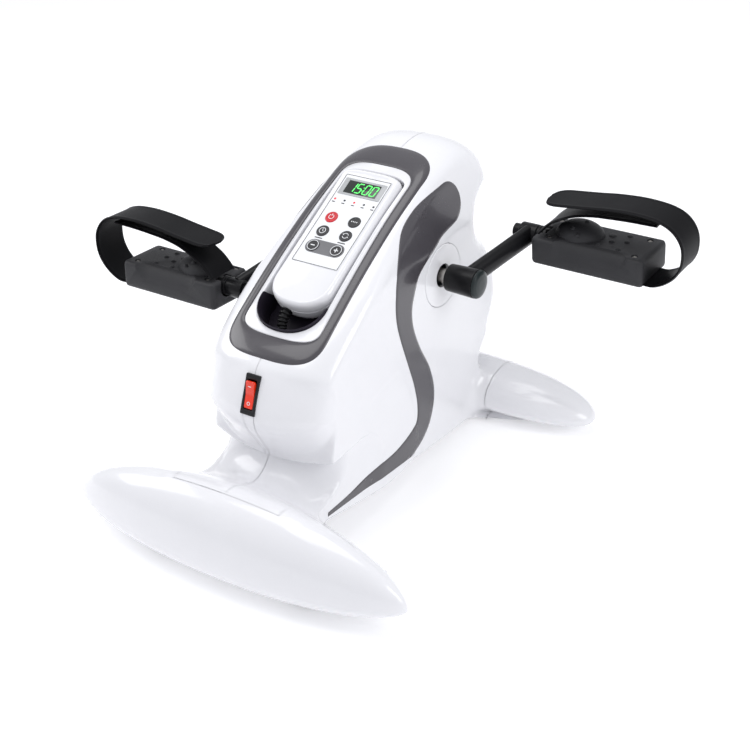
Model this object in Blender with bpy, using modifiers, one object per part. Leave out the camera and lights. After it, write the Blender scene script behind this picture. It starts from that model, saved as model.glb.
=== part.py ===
"""Motorised pedal exerciser.

A two-half casing stands on two cross feet and holds a belt-driven crankshaft whose cranks
carry strapped pedals. A wired handset lies in a cradle on the sloping console.
Metres, +Z up, origin on the floor under the middle of the machine. +X is the right side,
-Y is the front (console and wide front foot), +Y is the rear.
"""
import math

import bmesh
import bpy
from mathutils import Matrix, Vector
from mathutils.bvhtree import BVHTree

# Driving dimensions
GAP = 0.0003                      # room left between neighbouring pieces
WALL = 0.0025                     # casing wall
HALF_WIDTH = 0.0718               # casing, from the middle seam to its flat side
CRANK_Y, CRANK_Z = 0.096, 0.2025  # crank axis
CRANK_THROW = 0.0962              # crank axis to pedal axis
TOE_PLACE, TOE_SIZE = (0.1738, 0.0070, 0.0065), (0.0255, 0.0195, 0.0140)
ARM_WIDE, ARM_DEEP = 0.0136, 0.0186  # oval section of a crank arm
CRANK_RISE = math.radians(8.4)    # right crank above level, pointing to the rear
PANEL_SLOPE = math.radians(24.3)  # console
PANEL_FACE = 0.2406               # console plane's distance from the origin
PANEL_ALONG = 0.1086              # where the console's own middle lies along its slope
FRONT_Y, REAR_Y = -0.1886, 0.1776 # axes of the two feet
FOOT_HALF = 0.1989                # half length of each foot
FOOT_SIDES = 18                   # facets round a foot
TUBE_R = 0.016                    # rear cross tube
SHAFT_R = 0.0075
PEDAL_IN, PEDAL_OUT = 0.1325, 0.2570
PEDAL_TILT = {1: math.radians(-1.7), -1: math.radians(-7.3)}
MOTOR_Y, MOTOR_Z = -0.020, 0.105
BELT_X = (0.0295, 0.0385)         # belt's two edges
DRIVEN_R, MOTOR_PULLEY_R = 0.050, 0.0125
HUB_R = 0.0331                    # round cover in each side
PADS = {"front": (0.070, 0.095, 0.0166), "rear": (0.095, 0.120, 0.0097)}  # pads: inner x, outer x, height
PAD_HALF = 0.012                  # half of a pad from front to rear

# Side profile of the casing in its middle plane: y, z, depth of the edge rounding, its power
PROFILE = [
    (-0.150, 0.0471, 0.004, 2.0), (0.161, 0.0024, 0.004, 2.0), (0.166, 0.030, 0.010, 2.0),
    (0.173, 0.060, 0.022, 2.0), (0.195, 0.072, 0.040, 2.0), (0.219, 0.098, 0.045, 2.0),
    (0.230, 0.123, 0.045, 2.0), (0.230, 0.149, 0.045, 2.0), (0.224, 0.1734, 0.042, 2.0),
    (0.209, 0.1975, 0.038, 2.0), (0.193, 0.2165, 0.036, 2.0), (0.190, 0.2325, 0.036, 2.2),
    (0.203, 0.2405, 0.036, 2.4), (0.2145, 0.248, 0.036, 2.6), (0.2195, 0.262, 0.036, 2.8),
    (0.216, 0.283, 0.035, 2.8), (0.206, 0.297, 0.034, 2.8), (0.186, 0.3085, 0.032, 2.8),
    (0.165, 0.3125, 0.030, 3.0), (0.145, 0.3105, 0.026, 3.2), (0.1096, 0.3045, 0.022, 3.5),
    (0.0735, 0.2930, 0.022, 3.5), (0.0362, 0.2782, 0.022, 3.5), (-0.0105, 0.2560, 0.022, 3.5),
    (-0.054, 0.2330, 0.022, 3.5), (-0.085, 0.2170, 0.024, 3.0), (-0.1144, 0.2021, 0.030, 2.4),
    (-0.126, 0.191, 0.036, 2.0), (-0.144, 0.1555, 0.040, 2.0), (-0.1447, 0.145, 0.040, 2.0),
    (-0.129, 0.1172, 0.040, 2.0), (-0.1234, 0.0945, 0.034, 2.0), (-0.135, 0.0853, 0.026, 1.8),
    (-0.149, 0.0793, 0.022, 1.7), (-0.162, 0.0845, 0.012, 1.7), (-0.176, 0.0925, 0.008, 1.7),
    (-0.192, 0.0965, 0.005, 1.7), (-0.192, 0.0800, 0.004, 2.0), (-0.165, 0.0580, 0.004, 2.0),
]
LEAN = [(0.222, 1.0), (0.238, 0.985), (0.255, 0.93), (0.272, 0.87), (0.290, 0.82), (0.316, 0.79)]

# Side stripe: y, z and half width along its middle line
STRIPE = [
    (0.126, 0.268, 0.0215), (0.098, 0.2655, 0.0225), (0.078, 0.260, 0.024), (0.055, 0.2505, 0.0235),
    (0.038, 0.236, 0.020), (0.028, 0.217, 0.0177), (0.0228, 0.195, 0.0142), (0.0255, 0.170, 0.0118),
    (0.035, 0.139, 0.0125), (0.0458, 0.109, 0.0153), (0.050, 0.081, 0.0163), (0.0425, 0.057, 0.0142),
    (0.024, 0.045, 0.014), (-0.0085, 0.039, 0.0136), (-0.046, 0.041, 0.0127), (-0.0915, 0.044, 0.008),
    (-0.128, 0.0505, 0.003),
]

PANEL = Matrix.Rotation(PANEL_SLOPE, 4, "X")
PANEL = Matrix.Translation(PANEL @ Vector((0, PANEL_ALONG, PANEL_FACE))) @ PANEL

MATERIALS = {
    "white_gloss": ((0.86, 0.86, 0.88), 0.18, 0.0), "grey_gloss": ((0.10, 0.10, 0.11), 0.2, 0.0),
    "charcoal": ((0.045, 0.045, 0.05), 0.6, 0.0), "black_gloss": ((0.01, 0.01, 0.012), 0.25, 0.1),
    "rubber": ((0.012, 0.012, 0.013), 0.7, 0.0), "steel": ((0.6, 0.6, 0.6), 0.35, 1.0),
    "frame_black": ((0.02, 0.02, 0.02), 0.5, 0.4), "red_clear": ((0.8, 0.05, 0.01), 0.2, 0.0),
    "label_white": ((0.85, 0.86, 0.86), 0.35, 0.0), "display": ((0.02, 0.03, 0.03), 0.1, 0.0),
    "button_red": ((0.6, 0.02, 0.03), 0.4, 0.0), "button_black": ((0.02, 0.02, 0.02), 0.4, 0.0),
    "board_green": ((0.02, 0.16, 0.05), 0.5, 0.0),
}


def start_scene():
    """An empty scene with one collection for the parts and one for the cutters."""
    for old in list(bpy.data.objects):
        bpy.data.objects.remove(old, do_unlink=True)
    for name, (colour, roughness, metallic) in MATERIALS.items():
        made = bpy.data.materials.new(name)
        made.use_nodes = True
        shader = made.node_tree.nodes["Principled BSDF"]
        shader.inputs["Base Color"].default_value = (*colour, 1)
        shader.inputs["Roughness"].default_value = roughness
        shader.inputs["Metallic"].default_value = metallic
    groups = []
    for name in ("pedal_exerciser", "cutters"):
        group = bpy.data.collections.new(name)
        bpy.context.scene.collection.children.link(group)
        groups.append(group)
    return groups


PARTS, CUTTERS = start_scene()


def add(name, mesh, material=None, matrix=None):
    """A part with its material, or a hidden cutter when it has none."""
    piece = bpy.data.objects.new(name, mesh)
    (PARTS if material else CUTTERS).objects.link(piece)
    if material:
        mesh.materials.append(bpy.data.materials[material])
    else:
        piece.hide_render = True
        piece.display_type = "WIRE"
    if matrix:
        piece.matrix_world = matrix
    return piece


def from_bmesh(name, bm, material=None, matrix=None, smooth=False):
    mesh = bpy.data.meshes.new(name)
    bmesh.ops.recalc_face_normals(bm, faces=bm.faces)
    bm.to_mesh(mesh)
    bm.free()
    if smooth:
        mesh.shade_smooth()
        mesh.set_sharp_from_angle(angle=math.radians(40))
    return add(name, mesh, material, matrix)


def box(name, low, high, material=None, bevel=0.0, matrix=None, segments=2):
    """A block between two corners, in its own frame, with rounded edges."""
    low, high = Vector(low), Vector(high)
    bm = bmesh.new()
    bmesh.ops.create_cube(bm, size=1)
    bmesh.ops.scale(bm, vec=high - low, verts=bm.verts)
    bmesh.ops.translate(bm, vec=(high + low) / 2, verts=bm.verts)
    piece = from_bmesh(name, bm, material, matrix)
    if bevel:
        edge = piece.modifiers.new("edges", "BEVEL")
        edge.width = bevel
        edge.segments = segments
    return piece


def along_x(x, y=0.0, z=0.0):
    """A frame at (x, y, z) whose own Z points along world +X."""
    return Matrix.Translation((x, y, z)) @ Matrix.Rotation(math.pi / 2, 4, "Y")


def cylinder(name, radius, length, material=None, matrix=None, sides=24, top=None):
    """A cylinder or cone from z = 0 to z = length in its own frame."""
    bm = bmesh.new()
    bmesh.ops.create_cone(bm, cap_ends=True, segments=sides, radius1=radius,
                          radius2=radius if top is None else top, depth=length)
    bmesh.ops.translate(bm, vec=(0, 0, length / 2), verts=bm.verts)
    return from_bmesh(name, bm, material, matrix, smooth=True)


def turned(name, profile, material=None, matrix=None, sides=32):
    """A profile of (radius, height), top to bottom on the outside, turned round its own Z."""
    mesh = bpy.data.meshes.new(name)
    points = [(radius, 0, height) for radius, height in profile]
    closed = profile[0][0] > 0
    edges = [(i, i + 1) for i in range(len(points) - 1)]
    mesh.from_pydata(points, edges + ([(len(points) - 1, 0)] if closed else []), [])
    piece = add(name, mesh, material, matrix)
    screw = piece.modifiers.new("turn", "SCREW")
    screw.steps = screw.render_steps = sides
    screw.use_merge_vertices = True
    screw.merge_threshold = 0.00005
    return piece


def ring_profile(inner, outer, low, high):
    """A plain ring's section, for turned()."""
    return [(outer, high), (outer, low), (inner, low), (inner, high)]


def loft(name, rings, material=None, ends=True, closed=False, smooth=False, matrix=None):
    """A skin over rings of equally many points; capped, or joined last to first."""
    bm = bmesh.new()
    rows = [[bm.verts.new(point) for point in ring] for ring in rings]
    pairs = list(zip(rows, rows[1:])) + ([(rows[-1], rows[0])] if closed else [])
    for low, high in pairs:
        for i in range(len(low)):
            j = (i + 1) % len(low)
            bm.faces.new((low[i], low[j], high[j], high[i]))
    if ends and not closed:
        bm.faces.new(rows[0])
        bm.faces.new(rows[-1])
    return from_bmesh(name, bm, material, matrix, smooth)


def slab(name, outline, low, high, material=None, matrix=None, bevel=0.0):
    """A flat outline of (x, y) raised from low to high in its own frame."""
    curve = bpy.data.curves.new(name, "CURVE")
    curve.dimensions = "2D"
    curve.fill_mode = "BOTH"
    curve.extrude = (high - low) / 2
    spline = curve.splines.new("POLY")
    spline.points.add(len(outline) - 1)
    for point, (x, y) in zip(spline.points, outline):
        point.co = (x, y, 0, 1)
    spline.use_cyclic_u = True
    place = (matrix or Matrix.Identity(4)) @ Matrix.Translation((0, 0, (high + low) / 2))
    piece = curve_to_mesh(name, curve, material, place)
    if bevel:
        edge = piece.modifiers.new("edges", "BEVEL")
        edge.width = bevel
        edge.segments = 2
        edge.limit_method = "ANGLE"
        edge.angle_limit = math.radians(60)
    return piece


def curve_to_mesh(name, curve, material, matrix=None):
    """A curve turned into a mesh whose caps are welded."""
    guide = bpy.data.objects.new(name + "_line", curve)
    PARTS.objects.link(guide)
    if matrix:
        guide.matrix_world = matrix
    bpy.context.view_layer.update()
    mesh = bpy.data.meshes.new_from_object(guide.evaluated_get(bpy.context.evaluated_depsgraph_get()))
    place = guide.matrix_world.copy()
    bpy.data.objects.remove(guide, do_unlink=True)
    bm = bmesh.new()
    bm.from_mesh(mesh)
    bmesh.ops.remove_doubles(bm, verts=bm.verts, dist=0.00002)
    bmesh.ops.recalc_face_normals(bm, faces=bm.faces)
    bm.to_mesh(mesh)
    bm.free()
    mesh.materials.clear()
    return add(name, mesh, material, place)


def tube(name, points, radius, material=None, sides=2):
    """A round tube along the points, with flat ends."""
    curve = bpy.data.curves.new(name, "CURVE")
    curve.dimensions = "3D"
    curve.bevel_depth = radius
    curve.bevel_resolution = sides
    curve.use_fill_caps = True
    spline = curve.splines.new("POLY")
    spline.points.add(len(points) - 1)
    for point, place in zip(spline.points, points):
        point.co = (*place, 1)
    return curve_to_mesh(name, curve, material)


def boolean(piece, tool, operation="DIFFERENCE"):
    step = piece.modifiers.new(operation.lower(), "BOOLEAN")
    step.operation = operation
    step.solver = "EXACT"
    step.object = tool
    return piece


def joined(piece, *others):
    """The union of a part and helpers that aren't parts themselves."""
    for other in others:
        boolean(piece, other, "UNION")
    return piece


def arch(half, low, high, low_round, high_round, power_low=3.0, power_high=3.0, half_high=None, steps=5):
    """A closed outline about x = 0 with superellipse ends, counter-clockwise from its right side."""
    half_high = half_high or half
    points = []
    for end, wide, rounding, power, turn in ((high, half_high, high_round, power_high, 1),
                                             (low, half, low_round, power_low, -1)):
        for i in range(2 * steps + 1):
            angle = math.pi * i / (2 * steps)
            c, s = math.cos(angle), math.sin(angle)
            x = wide * math.copysign(abs(c) ** (2 / power), c)
            y = rounding * abs(s) ** (2 / power)
            points.append((turn * x, end - turn * rounding + turn * y))
    return points


def lean(z):
    """How far the casing's sides lean in at a height, as a share of its half width."""
    if z <= LEAN[0][0]:
        return 1.0
    for (z0, k0), (z1, k1) in zip(LEAN, LEAN[1:]):
        if z <= z1:
            return k0 + (k1 - k0) * (z - z0) / (z1 - z0)
    return LEAN[-1][1]


def casing_skin(levels, shrink, side, start):
    """Half of the casing as a closed solid: rings from near the middle plane to the flat side."""
    rings = []
    for level in levels:
        ring = []
        for i, (y, z, depth, power) in enumerate(PROFILE):
            before, after = PROFILE[i - 1], PROFILE[(i + 1) % len(PROFILE)]
            along = Vector((after[0] - before[0], after[1] - before[1])).normalized()
            drop = depth * (1 - (1 - level ** power) ** (1 / power)) + shrink
            x = start + level * (HALF_WIDTH - shrink - start)
            ring.append((side * x, y - along[1] * drop, z + along[0] * drop))
        rings.append(ring)
    bm = bmesh.new()
    rows = [[bm.verts.new(point) for point in ring] for ring in rings]
    for low, high in zip(rows, rows[1:]):
        for i in range(len(low)):
            j = (i + 1) % len(low)
            bm.faces.new((low[i], low[j], high[j], high[i]))
    bm.faces.new(rows[0])
    bm.faces.new(rows[-1])
    for height, _ in LEAN:
        everything = bm.verts[:] + bm.edges[:] + bm.faces[:]
        bmesh.ops.bisect_plane(bm, geom=everything, plane_co=(0, 0, height), plane_no=(0, 0, 1))
    for vert in bm.verts:
        if abs(vert.co.x) > abs(start) + GAP:
            vert.co.x *= lean(vert.co.z)
    bmesh.ops.recalc_face_normals(bm, faces=bm.faces)
    return bm


def ellipse(y, z, half_y, half_z, x, count=FOOT_SIDES):
    """A ring of points in the plane of one x."""
    step = 2 * math.pi / count
    return [(x, y + half_y * math.cos(step * i), z + half_z * math.sin(step * i))
            for i in range(count)]


OUTER_LEVELS = (0, 0.42, 0.68, 0.86, 0.96, 1.0)
SLEEVE = (REAR_Y, 0.026, 0.036, 0.0245)
REAR_SAG = 0.0095                 # how far a rear tip's centre droops
SLEEVE_END = 0.0865

skin = casing_skin(OUTER_LEVELS, 0.0, 1, GAP / 2)
SURFACE = BVHTree.FromBMesh(skin)
skin.free()


def on_panel(x, s, lift=0.0):
    """The point of the casing's top under a console point (x, s), raised by lift."""
    down = PANEL.to_3x3() @ Vector((0, 0, -1))
    inside = max(abs(x), 0.001)
    hit, _, _, _ = SURFACE.ray_cast(PANEL @ Vector((inside, s, 0.05)), down)
    place = hit - down * lift
    return Vector((x, place.y, place.z))


def on_side(y, z, lift):
    """The point of the casing's right side at (y, z), raised by lift."""
    edge = 0.0024 + (0.161 - y) * 0.1437 + 0.0055
    z = max(z, edge)
    hit, _, _, _ = SURFACE.ray_cast(Vector((0.2, y, z)), Vector((-1, 0, 0)))
    return Vector((hit.x + lift, y, z))


BEZEL_OUT = dict(half=0.0542, low=-0.1298, high=0.1483, low_round=0.040, high_round=0.045,
                 power_low=3.0, power_high=2.6, half_high=0.0508)
BEZEL_IN = dict(half=0.0445, low=-0.1045, high=0.1168, low_round=0.022, high_round=0.028,
                power_low=3.0, power_high=3.2, half_high=0.0412)
RECESS = dict(half=0.0378, low=-0.098, high=0.1042, low_round=0.035, high_round=0.012,
              power_low=2.2, power_high=3.0, half_high=0.0366)
HANDSET = dict(half=0.0345, low=-0.070, high=0.102, low_round=0.030, high_round=0.012,
               power_low=2.3, power_high=3.0)
HANDSET_BACK, HANDSET_SPLIT = -0.0243, -0.0120
CRADLE_FLOOR, POCKET_FLOOR, CRADLE_UNDER = -0.0246, -0.0338, -0.0363
COIL_S, COIL_OUT, COIL_IN = -0.032, 0.0282, 0.0138
CORD_R = 0.00175
TAIL_X = -0.0264
LABEL = (0.0271, -0.0218, 0.0915)
BUTTONS = [
    ("button_power", -0.0135, 0.0365), ("button_mode", 0.0137, 0.0365),
    ("button_timer", -0.0135, 0.0186), ("button_reverse", 0.0137, 0.0186),
    ("button_minus", -0.0138, -0.0003), ("button_plus", 0.0137, -0.0003),
]
BUTTON_R = 0.0068


def inset(outline, amount):
    """The same arch, smaller all round."""
    smaller = dict(outline)
    for key, change in (("half", -1), ("high", -1), ("low", 1), ("low_round", -0.6), ("high_round", -0.6)):
        smaller[key] += change * amount
    if "half_high" in smaller:
        smaller["half_high"] -= amount
    return smaller


def flat_ring(outline, height):
    return [PANEL @ Vector((x, s, height)) for x, s in arch(**outline)]


def draped_ring(outline, lift):
    return [on_panel(x, s, lift) for x, s in arch(**outline)]


def pod_rings(grow=0.0, steps=9):
    """Sections of the front foot along X, each growing from a small tip."""
    rings = []
    half = FOOT_HALF + grow
    for i in range(steps):
        x = -half * math.cos(math.pi * (i + 0.35) / (steps - 0.3))
        share = (1 - min(abs(x) / half, 0.9995) ** 2.2) ** (1 / 1.65)
        ring = []
        for k in range(FOOT_SIDES):
            angle = 2 * math.pi * k / FOOT_SIDES
            c, s = math.cos(angle), math.sin(angle)
            tall = 0.063 if s > 0 else 0.029
            ring.append((x, FRONT_Y + (0.0414 * share + grow) * c, 0.031 + (tall * share + grow) * s))
        rings.append(ring)
    return rings


def rear_tip_rings(side, shrink, start, steps=7):
    """Sections of one rear foot end, from the casing outward."""
    rings = []
    for i in range(steps):
        x = start + (FOOT_HALF - shrink - start) * math.sin(math.pi / 2 * i / (steps - 1)) * 0.9995
        share = (1 - (x / FOOT_HALF) ** 4) ** (1 / 2.2)
        sag = REAR_SAG * (x / FOOT_HALF) ** 3
        top, bottom = 0.0265 - sag + 0.0245 * share, 0.0265 - sag - (0.0245 - sag) * share
        half_y, half_z = 0.038 * share - shrink, (top - bottom) / 2 - shrink
        rings.append(ellipse(REAR_Y, (top + bottom) / 2, max(half_y, 0.001), max(half_z, 0.001), side * x))
    return rings


def spine_frame():
    """The frame of the steel spine, whose own Y runs from front to rear, and its length."""
    start, end = Vector((0, -0.1680, 0.0600)), Vector((0, 0.1540, 0.0340))
    pitch = math.atan2(end.z - start.z, end.y - start.y)
    return Matrix.Translation(start) @ Matrix.Rotation(pitch, 4, "X"), (end - start).length


def casing():
    """Two thin half shells with openings for the console, switch, shaft and base."""
    slope = math.atan(0.1437)
    base_frame = Matrix.Translation((0, 0.161, 0.0024)) @ Matrix.Rotation(-slope, 4, "X")
    pod = loft("pod_clearance", pod_rings(GAP))
    opening = loft("console_cut", [flat_ring(inset(BEZEL_OUT, -GAP), height) for height in (-0.05, 0.03)])
    switch = box("switch_cut", (-0.0068, -0.0180, -0.012), (0.0068, 0.0180, 0.010), matrix=SWITCH)
    base = box("base_cut", (-0.058, -0.285, -0.004), (0.058, -0.022, 0.0045), matrix=base_frame)
    spine = box("spine_cut", (-0.0165, -0.030, -0.0125), (0.0165, 0.090, 0.0125), matrix=spine_frame()[0])
    for side, name in ((1, "right_shell"), (-1, "left_shell")):
        shell = from_bmesh(name, casing_skin(OUTER_LEVELS, 0.0, side, GAP / 2), "white_gloss")
        inner = from_bmesh(name + "_hollow", casing_skin((0, 0.6, 0.9, 1.0), WALL, side, -0.003))
        y, z, half_y, half_z = SLEEVE
        sleeve = loft(name + "_sleeve",
                      [ellipse(y, z, half_y, half_z, side * x) for x in (GAP / 2, SLEEVE_END)])
        hollow = loft(name + "_sleeve_hollow",
                      [ellipse(y, z, half_y - WALL, half_z - WALL, side * x)
                       for x in (-0.003, SLEEVE_END + 0.005)])
        hub = cylinder(name + "_hub_cut", HUB_R + GAP, 0.02,
                       matrix=along_x(side * HALF_WIDTH - 0.01, CRANK_Y, CRANK_Z), sides=32)
        joined(shell, sleeve)
        for cutter in (inner, hollow, pod, opening, switch, base, spine, hub):
            boolean(shell, cutter)
        if side < 0:
            inlet = INLET @ Matrix.Translation((0, 0, -0.01))
            boolean(shell, cylinder("inlet_cut", 0.0061, 0.02, matrix=inlet, sides=20))
        outward = Matrix.Rotation(0 if side > 0 else math.pi, 4, "Y")
        plate = ring_profile(0.0125, HUB_R, -0.0025, 0.0008)
        turned(name.replace("shell", "hub_cover"), plate, "white_gloss",
               along_x(side * HALF_WIDTH, CRANK_Y, CRANK_Z) @ outward)
    turned("power_inlet", [(0.0072, 0.0015), (0.0072, GAP), (0.0058, GAP), (0.0058, -0.012), (0.0030, -0.012),
                           (0.0030, 0.0015)], "black_gloss", INLET, 20)
    slab("bottom_plate", [(-0.0575, -0.284), (0.0575, -0.284), (0.0575, -0.0225), (-0.0575, -0.0225)],
         0.0005, 0.0025, "frame_black", base_frame)


INLET = along_x(-HALF_WIDTH, 0.112, 0.098) @ Matrix.Rotation(math.pi, 4, "Y")
SWITCH = (Matrix.Translation((0, -0.1350, 0.17325)) @ Matrix.Rotation(math.radians(63.2), 4, "X"))


def stripe(name, side):
    """A grey trim strip that follows the side of the casing."""
    stations = []
    (y0, z0, w0), (y1, z1, _) = STRIPE[0], STRIPE[1]
    back = Vector((y0 - y1, z0 - z1)).normalized()
    for angle in (82, 60, 35):
        reach, wide = w0 * math.sin(math.radians(angle)), w0 * math.cos(math.radians(angle))
        stations.append((y0 + back.x * reach, z0 + back.y * reach, wide))
    stations += [tuple(point) for point in even_route(STRIPE, 0.020)]
    rings = []
    for i, (y, z, wide) in enumerate(stations):
        before, after = stations[max(i - 1, 0)], stations[min(i + 1, len(stations) - 1)]
        along = Vector((after[0] - before[0], after[1] - before[1])).normalized()
        across = [(y - along.y * wide * k, z + along.x * wide * k) for k in (-1, -0.5, 0, 0.5, 1)]
        ring = [on_side(*point, 0.0017) for point in across]
        ring += [on_side(*point, 0.0028) for point in across[::-1]]
        rings.append([(side * p.x, p.y, p.z) for p in ring])
    loft(name, rings, "grey_gloss", smooth=True)


def console():
    """The grey bezel ring and the white cradle that holds the handset."""
    middle = {key: (BEZEL_OUT[key] + BEZEL_IN[key]) / 2 for key in BEZEL_OUT}
    loft("console_bezel", [draped_ring(BEZEL_OUT, -0.006), draped_ring(BEZEL_OUT, 0.0006),
                           draped_ring(middle, 0.0022), draped_ring(BEZEL_IN, 0.0010),
                           draped_ring(BEZEL_IN, -0.006)], "grey_gloss", closed=True, smooth=True)
    edge = inset(BEZEL_IN, GAP)
    cradle = loft("console_cradle", [flat_ring(inset(edge, 0.001), CRADLE_UNDER), draped_ring(edge, -0.008),
                                     draped_ring(edge, 0.0006), draped_ring(RECESS, 0.0012),
                                     flat_ring(RECESS, CRADLE_FLOOR)], "white_gloss", smooth=True)
    pocket = dict(RECESS, high=0.0, high_round=0.004, half_high=0.0370)
    boolean(cradle, loft("pocket_cut", [flat_ring(pocket, POCKET_FLOOR), flat_ring(pocket, -0.020)]))
    boolean(cradle, box("underside_cut", (-0.034, 0.004, -0.045), (0.034, 0.100, -0.0275), matrix=PANEL))
    hole = PANEL @ Matrix.Translation((TAIL_X, -0.002, POCKET_FLOOR + 0.0035))
    hole = hole @ Matrix.Rotation(-math.pi / 2, 4, "X")
    boolean(cradle, cylinder("grommet_cut", 0.0035, 0.010, matrix=hole, sides=16))
    turned("cord_grommet", ring_profile(0.0021, 0.0032, 0.0018, 0.0064), "rubber", hole, 16)


def handset():
    """The control unit: two shells, label, display, board, buttons and its strain relief."""
    lower = inset(HANDSET, 0.0025)
    top = inset(HANDSET, 0.003)
    front = loft("handset_front", [flat_ring(HANDSET, HANDSET_SPLIT + GAP), flat_ring(HANDSET, -0.0028),
                                   flat_ring(inset(HANDSET, 0.001), -0.0008), flat_ring(top, 0.0)],
                 "white_gloss", smooth=True)
    back = loft("handset_back", [flat_ring(inset(HANDSET, 0.0022), HANDSET_BACK), flat_ring(HANDSET, -0.0215),
                                 flat_ring(HANDSET, HANDSET_SPLIT - GAP)], "white_gloss", smooth=True)
    boolean(front, loft("front_hollow", [flat_ring(lower, -0.013), flat_ring(lower, -0.0030)]))
    boolean(back, loft("back_hollow", [flat_ring(lower, -0.0220), flat_ring(lower, -0.010)]))
    half, low, high = LABEL
    bed = box("label_cut", (-half - GAP, low - GAP, -0.0010), (half + GAP, high + GAP, 0.002), matrix=PANEL)
    boolean(front, bed)
    label = box("handset_label", (-half, low, -0.0007), (half, high, 0.0001), "label_white", matrix=PANEL)
    window = box("window_cut", (-0.0188, 0.0687, -0.006), (0.0188, 0.0843, 0.004), matrix=PANEL)
    box("display_window", (-0.0185, 0.0690, -0.0045), (0.0185, 0.0840, 0.0003), "display", matrix=PANEL)
    for piece in (front, label):
        boolean(piece, window)
    for name, x, s in BUTTONS:
        well = cylinder(name + "_cut", BUTTON_R + GAP, 0.010, sides=16,
                        matrix=PANEL @ Matrix.Translation((x, s, -0.006)))
        for piece in (front, label):
            boolean(piece, well)
        profile = [(0, 0.0008), (BUTTON_R - 0.0008, 0.0006), (BUTTON_R, 0.0), (BUTTON_R, -0.0048),
                   (0, -0.0048)]
        turned(name, profile, "button_red" if name == "button_power" else "button_black",
               PANEL @ Matrix.Translation((x, s, 0)), 16)
    box("handset_board", (-0.0290, -0.040, -0.0085), (0.0290, 0.095, -0.0069), "board_green", matrix=PANEL)
    start, end = Vector((-0.0085, -0.0718, -0.0150)), Vector((-0.0049, -0.0888, -0.0216))
    aim = (end - start).to_track_quat("Z", "Y").to_matrix().to_4x4()
    cylinder("handset_strain_relief", 0.0054, (end - start).length, "rubber",
             PANEL @ Matrix.Translation(start) @ aim, 16, 0.0028)


def cord():
    """The handset's lead: from the strain relief, a coil on the pocket's floor, and out by the grommet."""
    lead = [(-0.0040, -0.0908, -0.0228), (-0.0012, -0.0928, -0.0246), (0.0024, -0.0938, -0.0266),
            (0.0064, -0.0936, -0.0286), (0.0102, -0.0918, -0.0303), (0.0138, -0.0888, -0.0314),
            (0.0172, -0.0848, -0.0319), (0.0210, -0.0790, -0.0319), (0.0250, -0.0710, -0.0319),
            (0.0284, -0.0620, -0.0319), (0.0307, -0.0530, -0.0319), (0.0318, -0.0440, -0.0319)]
    tail = [(-0.0215, -0.0093, -0.0291), (-0.0239, -0.0075, -0.0297), (-0.0258, -0.0048, -0.0301),
            (TAIL_X, -0.0015, -0.0303), (TAIL_X, 0.0060, -0.0303)]
    for name, route in (("handset_cord", lead), ("handset_cord_tail", tail)):
        tube(name, [PANEL @ Vector(point) for point in even_route(route, 0.0045)], CORD_R, "rubber")
    turned("handset_cord_coil", ring_profile(COIL_IN, COIL_OUT, 0.0003, 0.0077), "rubber",
           PANEL @ Matrix.Translation((0, COIL_S, POCKET_FLOOR)), 24)


def even_route(points, spacing):
    """Points about a spacing apart on a smooth curve through a route."""
    ends = [2 * Vector(points[0]) - Vector(points[1])] + [Vector(p) for p in points]
    ends.append(2 * ends[-1] - ends[-2])
    out = []
    for a, b, c, d in zip(ends, ends[1:], ends[2:], ends[3:]):
        pieces = max(1, round((c - b).length / spacing))
        for k in range(pieces):
            t = k / pieces
            out.append(0.5 * ((2 * b) + (c - a) * t + (2 * a - 5 * b + 4 * c - d) * t * t
                              + (3 * b - a - 3 * c + d) * t ** 3))
    return out + [ends[-2]]


def switch():
    """The rocker switch on the front: its snap-in frame and the lit rocker."""
    frame = box("rocker_frame", (-0.0082, -0.0198, 0.0004), (0.0082, 0.0198, 0.0024), "black_gloss",
                0.0006, SWITCH)
    body = box("rocker_body", (-0.0064, -0.0175, -0.018), (0.0064, 0.0175, 0.001), matrix=SWITCH)
    joined(frame, body)
    boolean(frame, box("rocker_well", (-0.0052, -0.0145, -0.014), (0.0052, 0.0145, 0.010), matrix=SWITCH))
    tilt = math.radians(9)
    reach = 0.0135
    section = [(-reach, -0.0005), (0, -0.0045), (reach, -0.0005),
               (reach, 0.0028), (0, 0.0012), (-reach, 0.0028)]
    frame_x = SWITCH @ Matrix.Translation((0, 0, 0.0012)) @ Matrix.Rotation(tilt, 4, "X")
    loft("rocker_button", [[(x, y, z) for y, z in section] for x in (-0.0048, 0.0048)], "red_clear",
         matrix=frame_x)


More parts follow.
